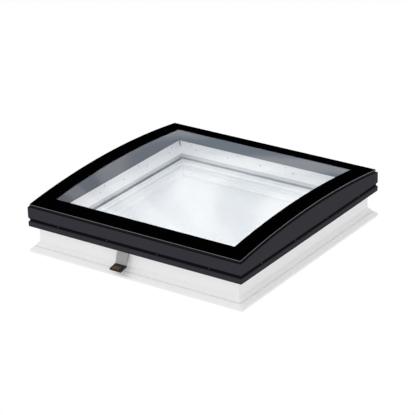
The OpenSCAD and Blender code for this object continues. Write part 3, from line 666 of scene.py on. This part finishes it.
@dataclass
class CoverGlass:
    """The single-curved cover glass, with its black band and its ground edge.

    A face belongs to the ground edge when its slant against the arch lies between ground_low and ground_high.
    """

    paints: Paints
    thickness: float = 6 * MM
    border: float = 75.6 * MM
    steps: int = 72
    corner_r: float = 4 * MM
    corner_near: float = 1 * MM
    corner_steps: int = 5
    edge_r: float = 2.0 * MM
    edge_steps: int = 3
    edge_limit_deg: float = 50.0
    smooth_deg: float = 30.0
    ground_low: float = -0.1
    ground_high: float = 0.5

    def build(self) -> bpy.types.Object:
        """Spins the front edge over the arch, gives the sheet its thickness and marks the black band.

        Returns:
            The glass, which stands for the CAD node cover_glass.
        """
        low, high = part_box("cover_glass")
        half_x, half_y = high.x, high.y
        drop = high.z - low.z
        radius = (drop ** 2 + half_y ** 2 - self.thickness ** 2) / (2 * (drop - self.thickness))
        centre_z = high.z - radius
        edge_z = centre_z + math.sqrt(radius ** 2 - half_y ** 2)
        sheet = Bench.add("arched_cover_glass", bpy.ops.mesh.primitive_plane_add, size=UNIT)
        Bench.edit(sheet, Pick.VERT, lambda place, _: place.y > 0)
        bpy.ops.mesh.delete(type="VERT")
        Bench.edit(sheet, Pick.VERT)
        bpy.ops.transform.resize(value=(2 * half_x, 1, 1), center_override=(0, 0, 0))
        bpy.ops.transform.translate(value=(0, UNIT / 2 - half_y, edge_z))
        bpy.ops.mesh.spin(steps=self.steps, angle=2 * math.asin(half_y / radius), center=(0, 0, centre_z),
                          axis=(1, 0, 0))
        clear_x, clear_y = half_x - self.border, half_y - self.border
        for place, normal in (((clear_x, 0, 0), (1, 0, 0)), ((-clear_x, 0, 0), (1, 0, 0)),
                              ((0, clear_y, 0), (0, 1, 0)), ((0, -clear_y, 0), (0, 1, 0))):
            bpy.ops.mesh.select_all(action="SELECT")
            bpy.ops.mesh.bisect(plane_co=place, plane_no=normal)
        near_x, near_y = half_x - self.corner_near, half_y - self.corner_near
        Bench.edit(sheet, Pick.VERT, lambda place, _: abs(place.x) > near_x and abs(place.y) > near_y)
        bpy.ops.mesh.bevel(offset=self.corner_r, segments=self.corner_steps, affect="VERTICES")
        Bench.edit(sheet, Pick.FACE)
        bpy.ops.mesh.normals_make_consistent(inside=False)
        Bench.done()
        if sheet.data.polygons[0].normal.z < 0:
            sheet.data.flip_normals()
        Bench.apply(sheet, "SOLIDIFY", thickness=self.thickness, offset=-1.0)
        Bench.apply(sheet, "BEVEL", width=self.edge_r, segments=self.edge_steps, limit_method="ANGLE",
                    angle_limit=math.radians(self.edge_limit_deg))
        self.mark(sheet, Vector((clear_x, clear_y, centre_z)))
        Bench.smooth(sheet, self.smooth_deg)
        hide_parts("cover_glass")
        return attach(sheet, "sash")

    def mark(self, sheet: bpy.types.Object, window: Vector) -> None:
        """Gives each face its finish, by its place and its slant.

        Args:
            sheet: The finished glass.
            window: Half the clear window's width and depth, and the height of the arch's axis.
        """
        mesh = sheet.data
        finishes = {
            Zone.CLEAR: self.paints.made["clear_glass"],
            Zone.PRINTED: self.paints.made["black_print"],
            Zone.GROUND: self.paints.edge,
        }
        for zone in Zone:
            mesh.materials.append(finishes[zone])
        for face in mesh.polygons:
            outwards = Vector((0, face.center.y, face.center.z - window.z)).normalized()
            inside = abs(face.center.x) < window.x and abs(face.center.y) < window.y
            ground = self.ground_low < face.normal.dot(outwards) < self.ground_high
            zone = Zone.CLEAR if inside else Zone.GROUND if ground else Zone.PRINTED
            face.material_index = zone.value


def solids_of(node: str) -> list[np.ndarray]:
    """Splits a CAD node into its separate solids.

    Args:
        node: The node's name.

    Returns:
        Each solid's corner points, as rows of x, y and z.
    """
    mesh = frame["nodes"][node].data
    points = np.array([v.co for v in mesh.vertices], float)
    keys = [tuple(p) for p in np.round(points, POINT_DIGITS)]
    home: dict[tuple, tuple] = {key: key for key in keys}

    def root(key: tuple) -> tuple:
        """Follows a point to the one that stands for its solid.

        Args:
            key: The point.

        Returns:
            The point that stands for the solid.
        """
        while home[key] != key:
            home[key] = home[home[key]]
            key = home[key]
        return key

    for face in mesh.polygons:
        first, *others = (keys[i] for i in face.vertices)
        for other in others:
            home[root(other)] = root(first)
    groups: dict[tuple, set] = {}
    for key in keys:
        groups.setdefault(root(key), set()).add(key)
    return [np.array(sorted(group)) for group in groups.values()]


class Facing(Enum):
    """Where a set of screws shows its heads."""

    OUT = "away from the middle"
    IN = "towards the middle"
    UP = "up"


@dataclass
class ScrewSet:
    """All the screws of one CAD node, modelled once with a domed head and a cross recess."""

    node: str
    body: str
    facing: Facing
    head_d: float
    head_t: float
    shank_d: float
    slot: str = "zinc_steel"
    sides: int = 28
    rim_share: float = 0.1
    dome_share: float = 0.55
    dome_steps: int = 4
    recess_share: float = 0.6
    slot_share: float = 0.16
    deep_share: float = 0.6
    taper: Place = (0.5, 0.8, 1.0)

    def build(self, paints: Paints) -> bpy.types.Object:
        """Models one screw and copies it to each solid of the node.

        Args:
            paints: The finishes.

        Returns:
            The screws as one piece, which stands for the node.
        """
        seats = [self.seat(points) for points in solids_of(self.node)]
        pattern = self.pattern(seats[0][1])
        screws = [Bench.copy(pattern, place) for place, _ in seats]
        Bench.discard(pattern)
        whole = Bench.join(f"{self.node}_cross_head", screws)
        Bench.settle(whole)
        paints.dress(whole, self.slot)
        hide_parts(self.node)
        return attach(whole, self.body)

    def seat(self, points: np.ndarray) -> tuple[Matrix, float]:
        """Finds a screw's place: its axis, and the middle of its head's top.

        Args:
            points: The corner points of one solid.

        Returns:
            The place that takes a screw standing on +Z there, and the screw's whole length.
        """
        middle = (points.min(0) + points.max(0)) / 2
        axis = np.linalg.svd(points - points.mean(0))[2][0]
        away = {Facing.OUT: np.array([middle[0], middle[1], 0.0]),
                Facing.IN: np.array([-middle[0], -middle[1], 0.0]),
                Facing.UP: np.array([0.0, 0.0, 1.0])}[self.facing]
        if axis @ away < 0:
            axis = -axis
        reach = (points - middle) @ axis
        top = Vector(middle + axis * reach.max())
        turn = Vector(axis).to_track_quat("Z", "Y").to_matrix().to_4x4()
        return Matrix.Translation(top) @ turn, float(reach.max() - reach.min())

    def pattern(self, length: float) -> bpy.types.Object:
        """Models one screw along Z, with the top of its head at the origin.

        Args:
            length: The whole length.

        Returns:
            The pattern.
        """
        screw = Bench.add("screw", bpy.ops.mesh.primitive_cylinder_add, vertices=self.sides,
                          radius=self.head_d / 2, depth=self.head_t, location=(0, 0, -self.head_t / 2))
        Bench.hold(screw)
        bpy.ops.object.transform_apply(location=True)
        rim = self.head_t * self.rim_share
        Bench.edit(screw, Pick.FACE,
                   lambda place, normal: normal.z < -LOOKS_ALONG and place.z < rim - self.head_t)
        bpy.ops.mesh.inset(thickness=(self.head_d - self.shank_d) / 2)
        bpy.ops.mesh.extrude_region_move(TRANSFORM_OT_translate={"value": (0, 0, self.head_t - length)})
        Bench.edit(screw, Pick.EDGE, lambda place, way: place.z > -rim and abs(way.z) < LIES_ACROSS)
        bpy.ops.mesh.bevel(offset=self.head_t * self.dome_share, segments=self.dome_steps)
        Bench.done()
        cutter = self.cross()
        Bench.apply(screw, "BOOLEAN", object=cutter, operation="DIFFERENCE", solver="EXACT")
        Bench.discard(cutter)
        return screw

    def cross(self) -> bpy.types.Object:
        """Models the cross recess.

        Returns:
            A cutter with two tapered arms, set to cut into the top of a head at the origin.
        """
        arms = []
        deep = self.head_t * self.deep_share
        size = (self.head_d * self.recess_share, self.head_d * self.slot_share, 2 * deep)
        for turn in (0.0, math.pi / 2):
            arm = Bench.add("cross", bpy.ops.mesh.primitive_cube_add, size=UNIT)
            Bench.edit(arm, Pick.FACE)
            bpy.ops.transform.resize(value=size)
            Bench.edit(arm, Pick.FACE, lambda _, normal: normal.z < -LOOKS_ALONG)
            bpy.ops.transform.resize(value=self.taper)
            Bench.done()
            arm.data.transform(Matrix.Rotation(turn, 4, "Z"))
            arms.append(arm)
        first, second = arms
        Bench.apply(first, "BOOLEAN", object=second, operation="UNION", solver="EXACT")
        Bench.discard(second)
        return first


@dataclass
class PushChain:
    """The drive's push chain, whose links are drawn out of the housing as the sash opens.

    The links are laid out at their true pitch over the open length, and then pressed into the closed one,
    by the same smooth step that draws them out again.
    """

    paints: Paints
    pitch: float = 12 * MM
    plate_w: float = 9 * MM
    plate_t: float = 1.5 * MM
    roller_d: float = 6 * MM
    roller_w: float = 3 * MM
    pin_d: float = 4 * MM
    pin_over: float = 1.95 * MM
    plate_fill: float = 0.9
    waist_share: float = 0.1
    edge_share: float = 0.12
    plate_sides: int = 24
    pin_sides: int = 20
    pin_steps: int = 2
    halvings: int = 40

    def build(self) -> bpy.types.Object:
        """Builds the whole column of links.

        Returns:
            The chain, which stands for the CAD node drive_chain and bends between the two bodies.
        """
        low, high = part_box("drive_chain")
        pin_low, pin_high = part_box("chain_head_pin")
        head = (pin_low + pin_high) / 2
        foot_z = low.z
        closed = head.z - foot_z
        lift = self.lift(head)
        count = math.ceil((closed + lift) / self.pitch)
        link = self.link()
        links = [Bench.copy(link, self.stand(head, lift, i)) for i in range(count)]
        Bench.discard(link)
        chain = Bench.join("push_chain_links", links)
        for vertex in chain.data.vertices:
            share = self.share((vertex.co.z - foot_z) / (closed + lift), closed, lift)
            vertex.co.z = min(max(foot_z + share * closed, foot_z), high.z)
        chain.data.update()
        Bench.smooth(chain)
        self.paints.dress(chain, "chain_steel")
        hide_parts("drive_chain")
        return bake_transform(chain, "frame", "sash", start=(head.x, head.y, foot_z), end=tuple(head))

    @staticmethod
    def lift(head: Vector) -> float:
        """Finds how far the head pin rises when the sash is fully open.

        Args:
            head: The pin's middle with the sash closed.

        Returns:
            The rise.
        """
        joint = frame["joints"][0]
        axis = Vector(joint["pos_m"])
        angle = math.radians(joint["range_deg"][1])
        arm_y, arm_z = head.y - axis.y, head.z - axis.z
        return -arm_y * math.sin(angle) + arm_z * (math.cos(angle) - 1)

    def stand(self, head: Vector, lift: float, index: int) -> Matrix:
        """Finds the place of a link in the open chain. Every second link is narrower.

        Args:
            head: The head pin's middle with the sash closed.
            lift: How far the pin rises.
            index: The link's number, counted down from the pin.

        Returns:
            The place, with the link's width.
        """
        wide = 1.0 if index % 2 == 0 else self.roller_w / (self.roller_w + 2 * self.plate_t)
        place = Matrix.Translation((head.x, head.y, head.z + lift - index * self.pitch))
        return place @ Matrix.Diagonal((wide, 1.0, 1.0, 1.0))

    def share(self, height: float, closed: float, lift: float) -> float:
        """Finds where a point of the open chain lies in the closed one.

        Args:
            height: The point's height, as a share of the open length.
            closed: The closed length.
            lift: How much longer the open chain is.

        Returns:
            The share of the closed length, found by halving, because the draw is a smooth step.
        """
        low, high = 0.0, 1.0
        for _ in range(self.halvings):
            middle = (low + high) / 2
            drawn = middle * closed + lift * middle * middle * (3 - 2 * middle)
            if drawn < height * (closed + lift):
                low = middle
            else:
                high = middle
        return low

    def link(self) -> bpy.types.Object:
        """Models one link that hangs from the origin.

        Returns:
            The link: two long plates, with a pin and a roller at its lower end.
        """
        pieces = []
        inner = self.roller_w / 2 + self.plate_t
        for side in (-1, 1):
            plate = Bench.add("plate", bpy.ops.mesh.primitive_cylinder_add, vertices=self.plate_sides,
                              radius=self.plate_w / 2, depth=self.plate_t * self.plate_fill,
                              rotation=(0, math.pi / 2, 0),
                              location=(side * (inner + self.plate_t / 2), 0, 0))
            Bench.hold(plate)
            bpy.ops.object.transform_apply(location=True, rotation=True)
            Bench.edit(plate, Pick.VERT, lambda place, _: place.z < -self.waist_share * self.plate_w / 2)
            bpy.ops.transform.translate(value=(0, 0, -self.pitch))
            Bench.edit(plate, Pick.EDGE, lambda _, way: abs(way.x) < LIES_ACROSS)
            bpy.ops.mesh.bevel(offset=self.plate_t * self.edge_share, segments=1)
            Bench.done()
            pieces.append(plate)
        half_pin = inner + self.pin_over
        for radius, half in ((self.pin_d / 2, half_pin), (self.roller_d / 2, self.roller_w / 2)):
            pin = Bench.add("pin", bpy.ops.mesh.primitive_cylinder_add, vertices=self.pin_sides,
                            radius=radius, depth=2 * half, rotation=(0, math.pi / 2, 0),
                            location=(0, 0, -self.pitch))
            Bench.hold(pin)
            bpy.ops.object.transform_apply(location=True, rotation=True)
            Bench.edit(pin, Pick.EDGE, lambda _, way: abs(way.x) < LIES_ACROSS)
            bpy.ops.mesh.bevel(offset=radius * self.edge_share, segments=self.pin_steps)
            Bench.done()
            pieces.append(pin)
        return Bench.join("link", pieces)


@dataclass
class MitreShadowStrips:
    """Dark strips in the open mitres between the trims: painted shadow, standing in for the shade that falls
    in the gaps.
    """

    paints: Paints
    depth: float = 7 * MM
    width: float = 4 * MM
    back: float = 0.8 * MM
    near: float = 2 * MM
    edge_steps: int = 2
    corners_deg: tuple[float, ...] = (45.0, 135.0, 225.0, 315.0)

    def build(self) -> bpy.types.Object:
        """Models one leaning strip and turns copies of it into the four corners.

        Returns:
            The strips as one piece on the sash.
        """
        trim = np.array([v.co for v in frame["nodes"]["trim_right"].data.vertices], float)
        low_z, high_z = trim[:, 2].min(), trim[:, 2].max()
        foot, head = (trim[np.abs(trim[:, 2] - z) < self.near][:, 0].min() for z in (low_z, high_z))
        out = math.sqrt(2) * foot + self.back + self.depth / 2
        strip = Bench.add("joint", bpy.ops.mesh.primitive_cube_add, size=UNIT)
        Bench.edit(strip, Pick.FACE)
        bpy.ops.transform.resize(value=(self.depth, self.width, high_z - low_z))
        bpy.ops.transform.translate(value=(out, 0, (low_z + high_z) / 2))
        Bench.edit(strip, Pick.FACE, lambda _, normal: normal.z > LOOKS_ALONG)
        bpy.ops.transform.translate(value=(math.sqrt(2) * (head - foot), 0, 0))
        Bench.edit(strip, Pick.EDGE)
        bpy.ops.mesh.bevel(offset=self.back / 2, segments=self.edge_steps)
        Bench.done()
        turns = [Matrix.Rotation(math.radians(angle), 4, "Z") for angle in self.corners_deg]
        strips = [Bench.copy(strip, turn) for turn in turns]
        Bench.discard(strip)
        whole = Bench.join("trim_corner_shadow_strips", strips)
        Bench.settle(whole)
        # The black rubber finish on these strips is painted shadow for the open mitres.
        self.paints.dress(whole, "black_rubber")
        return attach(whole, "sash")


@dataclass
class SensorTracks:
    """The sensing pad's two combs of plated tracks, one between the other's teeth."""

    paints: Paints
    teeth: int = 7
    fill_share: float = 0.5
    height: float = 0.25 * MM
    margin: float = 1.6 * MM
    edge_steps: int = 2

    def build(self) -> bpy.types.Object:
        """Lays the tracks on the sloping pad.

        Returns:
            The tracks as one piece on the frame.
        """
        corners = np.array([v.co for v in frame["nodes"]["sensor_pad"].data.vertices], float)
        low, high = (Vector(p) for p in (corners.min(0), corners.max(0)))
        outer_z = corners[corners[:, 1] < low.y + self.margin / 2][:, 2].max()
        slope = (high.z - outer_z) / (high.y - low.y)
        width, depth = high.x - low.x - 2 * self.margin, high.y - low.y - 2 * self.margin
        pitch = width / self.teeth
        tooth = pitch * self.fill_share
        bars = []
        for i in range(self.teeth):
            shift = tooth / 2 if i % 2 else -tooth / 2
            bars.append(self.bar((i + 0.5) * pitch - width / 2, shift, tooth, depth - 2 * tooth))
        for side in (-1, 1):
            bars.append(self.bar(0.0, side * (depth - tooth) / 2, width, tooth))
        tracks = Bench.join("sensor_comb_tracks", bars)
        middle = (low + high) / 2
        tilt = Matrix.Identity(4)
        tilt[2][1] = slope
        tracks.data.transform(Matrix.Translation((middle.x, middle.y, (outer_z + high.z) / 2)) @ tilt)
        Bench.settle(tracks)
        self.paints.dress(tracks, "copper_pad")
        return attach(tracks, "frame")

    def bar(self, x: float, y: float, width: float, depth: float) -> bpy.types.Object:
        """Models one flat track with softened edges, half sunk in the plane z = 0.

        Args:
            x: The place of its middle across the pad.
            y: The place of its middle along the pad.
            width: Its size across.
            depth: Its size along.

        Returns:
            The track.
        """
        bar = Bench.add("track", bpy.ops.mesh.primitive_plane_add, size=UNIT)
        Bench.edit(bar, Pick.FACE)
        bpy.ops.transform.resize(value=(width, depth, 1.0))
        bpy.ops.transform.translate(value=(x, y, -self.height))
        bpy.ops.mesh.extrude_region_move(TRANSFORM_OT_translate={"value": (0, 0, 2 * self.height)})
        Bench.edit(bar, Pick.EDGE, lambda place, way: place.z > 0 and abs(way.z) < LIES_ACROSS)
        bpy.ops.mesh.bevel(offset=self.height / 2, segments=self.edge_steps)
        Bench.done()
        return bar


@dataclass(frozen=True)
class Studio:
    """The camera at the photograph's viewing angle, the pale floor, a board inside the frame and soft light.

    A floor's seen level is what the camera and the glass see, and its cast level is what lights the part.
    The gains of the light grow with the glass faces that it has passed: two in the cover, four in the panes.
    """

    MIX_LOW: ClassVar[int] = 6
    MIX_HIGH: ClassVar[int] = 7
    MIX_COLOUR: ClassVar[int] = 2

    azimuth_deg: float = 34.958
    elevation_deg: float = 24.223
    roll_deg: float = -1.65
    distance: float = 8.2346
    target: Place = (0.0062, 0.0045, 0.1131)
    lens: float = 177.5
    sensor: float = 36.0
    clip_end: float = 2400.0
    floor_size: float = 240.0
    floor_gap: float = 0.5 * MM
    floor_seen: float = 1.0
    floor_cast: float = 0.84
    shaft_half: float = 371.9 * MM
    shaft_z: float = 28 * MM
    shaft_seen: float = 1.26
    shaft_cast: float = 1.6
    sky_level: float = 0.92
    up_gain: float = 0.16
    front_gain: float = 0.14
    right_gain: float = -0.02
    cover_faces: int = 2
    cover_gain: float = 1.25
    glazing_faces: int = 6
    glazing_gain: float = 2.1
    mirror_low: Colour = (0.27, 0.33, 0.40)
    mirror_high: Colour = (0.58, 0.62, 0.67)
    band_period_deg: float = 3.0755
    band_start_deg: float = -36.2385
    band_middle_deg: tuple[float, float] = (-35.0, 24.2)
    band_reach_deg: float = 12.0
    band_lean: float = 0.3926
    band_curve: float = 0.347
    band_twist: float = 2.186
    band_soft: float = 0.7
    key_size: float = 3.0
    key_power: float = 25.0
    key_place: Place = (-1.0, -5.0, 5.0)

    def build(self) -> None:
        """Sets up the whole studio."""
        self.camera()
        self.floor()
        self.surround()
        self.key()
        bpy.context.scene.view_settings.view_transform = "Standard"

    def camera(self) -> None:
        """Makes the camera and puts it at its place."""
        az, el, roll = (math.radians(a) for a in (self.azimuth_deg, self.elevation_deg, self.roll_deg))
        back = Vector((math.sin(az) * math.cos(el), -math.cos(az) * math.cos(el), math.sin(el)))
        level = Vector((math.cos(az), math.sin(az), 0))
        upright = back.cross(level)
        right = level * math.cos(roll) + upright * math.sin(roll)
        up = upright * math.cos(roll) - level * math.sin(roll)
        data = bpy.data.cameras.new("camera")
        data.lens = self.lens
        data.sensor_width = self.sensor
        data.clip_end = self.clip_end
        eye = bpy.data.objects.new("camera", data)
        turn = Matrix((right, up, back)).transposed().to_4x4()
        eye.matrix_world = Matrix.Translation(Vector(self.target) + back * self.distance) @ turn
        bpy.context.scene.collection.objects.link(eye)
        bpy.context.scene.camera = eye

    def floor(self) -> None:
        """Lays a pale, evenly lit floor under the flange, and a board that hides the foot of the lining."""
        for name, size, height, seen, cast in (
                ("floor", self.floor_size, CAD_BOX[0].z - self.floor_gap, self.floor_seen, self.floor_cast),
                ("shaft_floor", 2 * self.shaft_half, self.shaft_z, self.shaft_seen, self.shaft_cast)):
            plane = Bench.add(name, bpy.ops.mesh.primitive_plane_add, size=size, location=(0, 0, height))
            material = bpy.data.materials.new(f"pale_{name}")
            material.use_nodes = True
            tree = Tree(material.node_tree)
            bounced = tree.math("MINIMUM", tree.add("LightPath").outputs["Diffuse Depth"], 1.0)
            strength = tree.math("MULTIPLY_ADD", bounced, cast - seen, seen)
            glow = tree.add("Emission", {"Color": WHITE, "Strength": strength})
            tree.add("OutputMaterial", {"Surface": glow.outputs["Emission"]})
            plane.data.materials.append(material)

    def surround(self) -> None:
        """Makes the white surround, and the soft bands that the glass and the glossy faces mirror."""
        world = bpy.data.worlds.new("studio")
        bpy.context.scene.world = world
        world.use_nodes = True
        world.cycles.sampling_method = "NONE"
        tree = Tree(world.node_tree)
        way = tree.add("SeparateXYZ", {"Vector": tree.add("TexCoord").outputs["Generated"]}).outputs
        side = tree.math("MULTIPLY_ADD", way["Y"], -self.front_gain, self.sky_level)
        across = tree.math("MULTIPLY_ADD", way["X"], self.right_gain, side)
        level = tree.math("MULTIPLY_ADD", tree.math("MAXIMUM", way["Z"], 0.0), self.up_gain, across)
        path = tree.add("LightPath")
        depth = path.outputs["Transparent Depth"]
        cover = tree.add("MapRange", {
            "Value": depth, "From Max": self.cover_faces, "To Min": 1.0, "To Max": self.cover_gain,
        })
        gain = tree.add("MapRange", {
            "Value": depth, "From Min": self.cover_faces, "From Max": self.glazing_faces,
            "To Min": cover.outputs["Result"], "To Max": self.glazing_gain,
        })
        light = tree.add("Background", {"Strength": tree.math("MULTIPLY", level, gain.outputs["Result"])})
        soft = tree.add("MapRange", {
            "Value": self.bands(tree, way), "From Min": -self.band_soft, "From Max": self.band_soft,
        }, interpolation_type="SMOOTHSTEP")
        tone = tree.add("Mix", {
            0: soft.outputs["Result"], self.MIX_LOW: (*self.mirror_low, 1.0),
            self.MIX_HIGH: (*self.mirror_high, 1.0),
        }, data_type="RGBA")
        mirror = tree.add("Background", {"Color": tone.outputs[self.MIX_COLOUR]})
        choice = tree.add("MixShader", {
            0: path.outputs["Is Glossy Ray"], 1: light.outputs[0], 2: mirror.outputs[0],
        })
        seen = tree.add("Background", {"Color": WHITE})
        final = tree.add("MixShader", {
            0: path.outputs["Is Camera Ray"], 1: choice.outputs[0], 2: seen.outputs[0],
        })
        tree.add("OutputWorld", {"Surface": final.outputs[0]})

    def bands(self, tree: Tree, way: Any) -> Socket:
        """Makes the wave of upright bands, which lean and bend with the height.

        Args:
            tree: The world's tree.
            way: The parts of the direction.

        Returns:
            The wave, from -1 to 1.
        """
        turn_mid, rise_mid = (math.radians(a) for a in self.band_middle_deg)
        reach = math.radians(self.band_reach_deg)
        turn = tree.math("ARCTAN2", way["X"], way["Y"])
        height = tree.math("ARCSINE", way["Z"])
        off, rise = (
            tree.add("Clamp", {
                "Value": tree.math("SUBTRACT", angle, middle), "Min": -reach, "Max": reach,
            }).outputs["Result"]
            for angle, middle in ((turn, turn_mid), (height, rise_mid)))
        bent = tree.math("MULTIPLY_ADD", tree.math("MULTIPLY", rise, rise), self.band_curve, turn)
        twisted = tree.math("MULTIPLY_ADD", tree.math("MULTIPLY", rise, off), self.band_twist, bent)
        lean = tree.math("MULTIPLY_ADD", rise, self.band_lean, twisted)
        shift = tree.math("SUBTRACT", lean, math.radians(self.band_start_deg))
        return tree.math("SINE", tree.math("MULTIPLY", shift, FULL_TURN_DEG / self.band_period_deg))

    def key(self) -> None:
        """Hangs a wide soft lamp in front, to the left, for the shape of the edges."""
        data = bpy.data.lights.new("key", "AREA")
        data.shape = "DISK"
        data.size = self.key_size
        data.energy = self.key_power
        lamp = bpy.data.objects.new("key", data)
        place = Vector(self.key_place)
        lamp.matrix_world = Matrix.Translation(place) @ place.to_track_quat("Z", "Y").to_matrix().to_4x4()
        bpy.context.scene.collection.objects.link(lamp)


@dataclass
class Skylight:
    """The whole skylight: dressed CAD nodes and the pieces modelled here."""

    SCREWS: ClassVar[tuple[ScrewSet, ...]] = (
        ScrewSet("cladding_screws", "sash", Facing.OUT, 6 * MM, 2 * MM, 3.5 * MM, "black_steel"),
        ScrewSet("bead_screws", "sash", Facing.IN, 5 * MM, 1.6 * MM, 3 * MM, "black_steel"),
        ScrewSet("trim_screws", "sash", Facing.IN, 5 * MM, 1.6 * MM, 3 * MM, "black_steel"),
        ScrewSet("hinge_sash_screws", "sash", Facing.OUT, 8 * MM, 1.8 * MM, 4.5 * MM),
        ScrewSet("hinge_frame_screws", "frame", Facing.OUT, 8 * MM, 1.8 * MM, 4.5 * MM),
        ScrewSet("sensor_screws", "frame", Facing.UP, 8 * MM, 1 * MM, 4 * MM),
    )

    paints: Paints
    pieces: list[bpy.types.Object] = field(default_factory=list)

    def build(self) -> None:
        """Dresses the frame and builds every new piece."""
        self.paints.dress_frame()
        self.pieces.append(CoverGlass(self.paints).build())
        for screws in self.SCREWS:
            self.pieces.append(screws.build(self.paints))
        # Dark strips in the trims' mitres, as painted shadow.
        self.pieces.append(MitreShadowStrips(self.paints).build())
        self.pieces.append(PushChain(self.paints).build())
        self.pieces.append(SensorTracks(self.paints).build())


def main() -> None:
    """Builds the studio and the skylight."""
    logging.basicConfig(level=logging.INFO, format="%(name)s: %(message)s")
    Studio().build()
    skylight = Skylight(Paints())
    skylight.build()


if __name__ == "__main__":
    main()
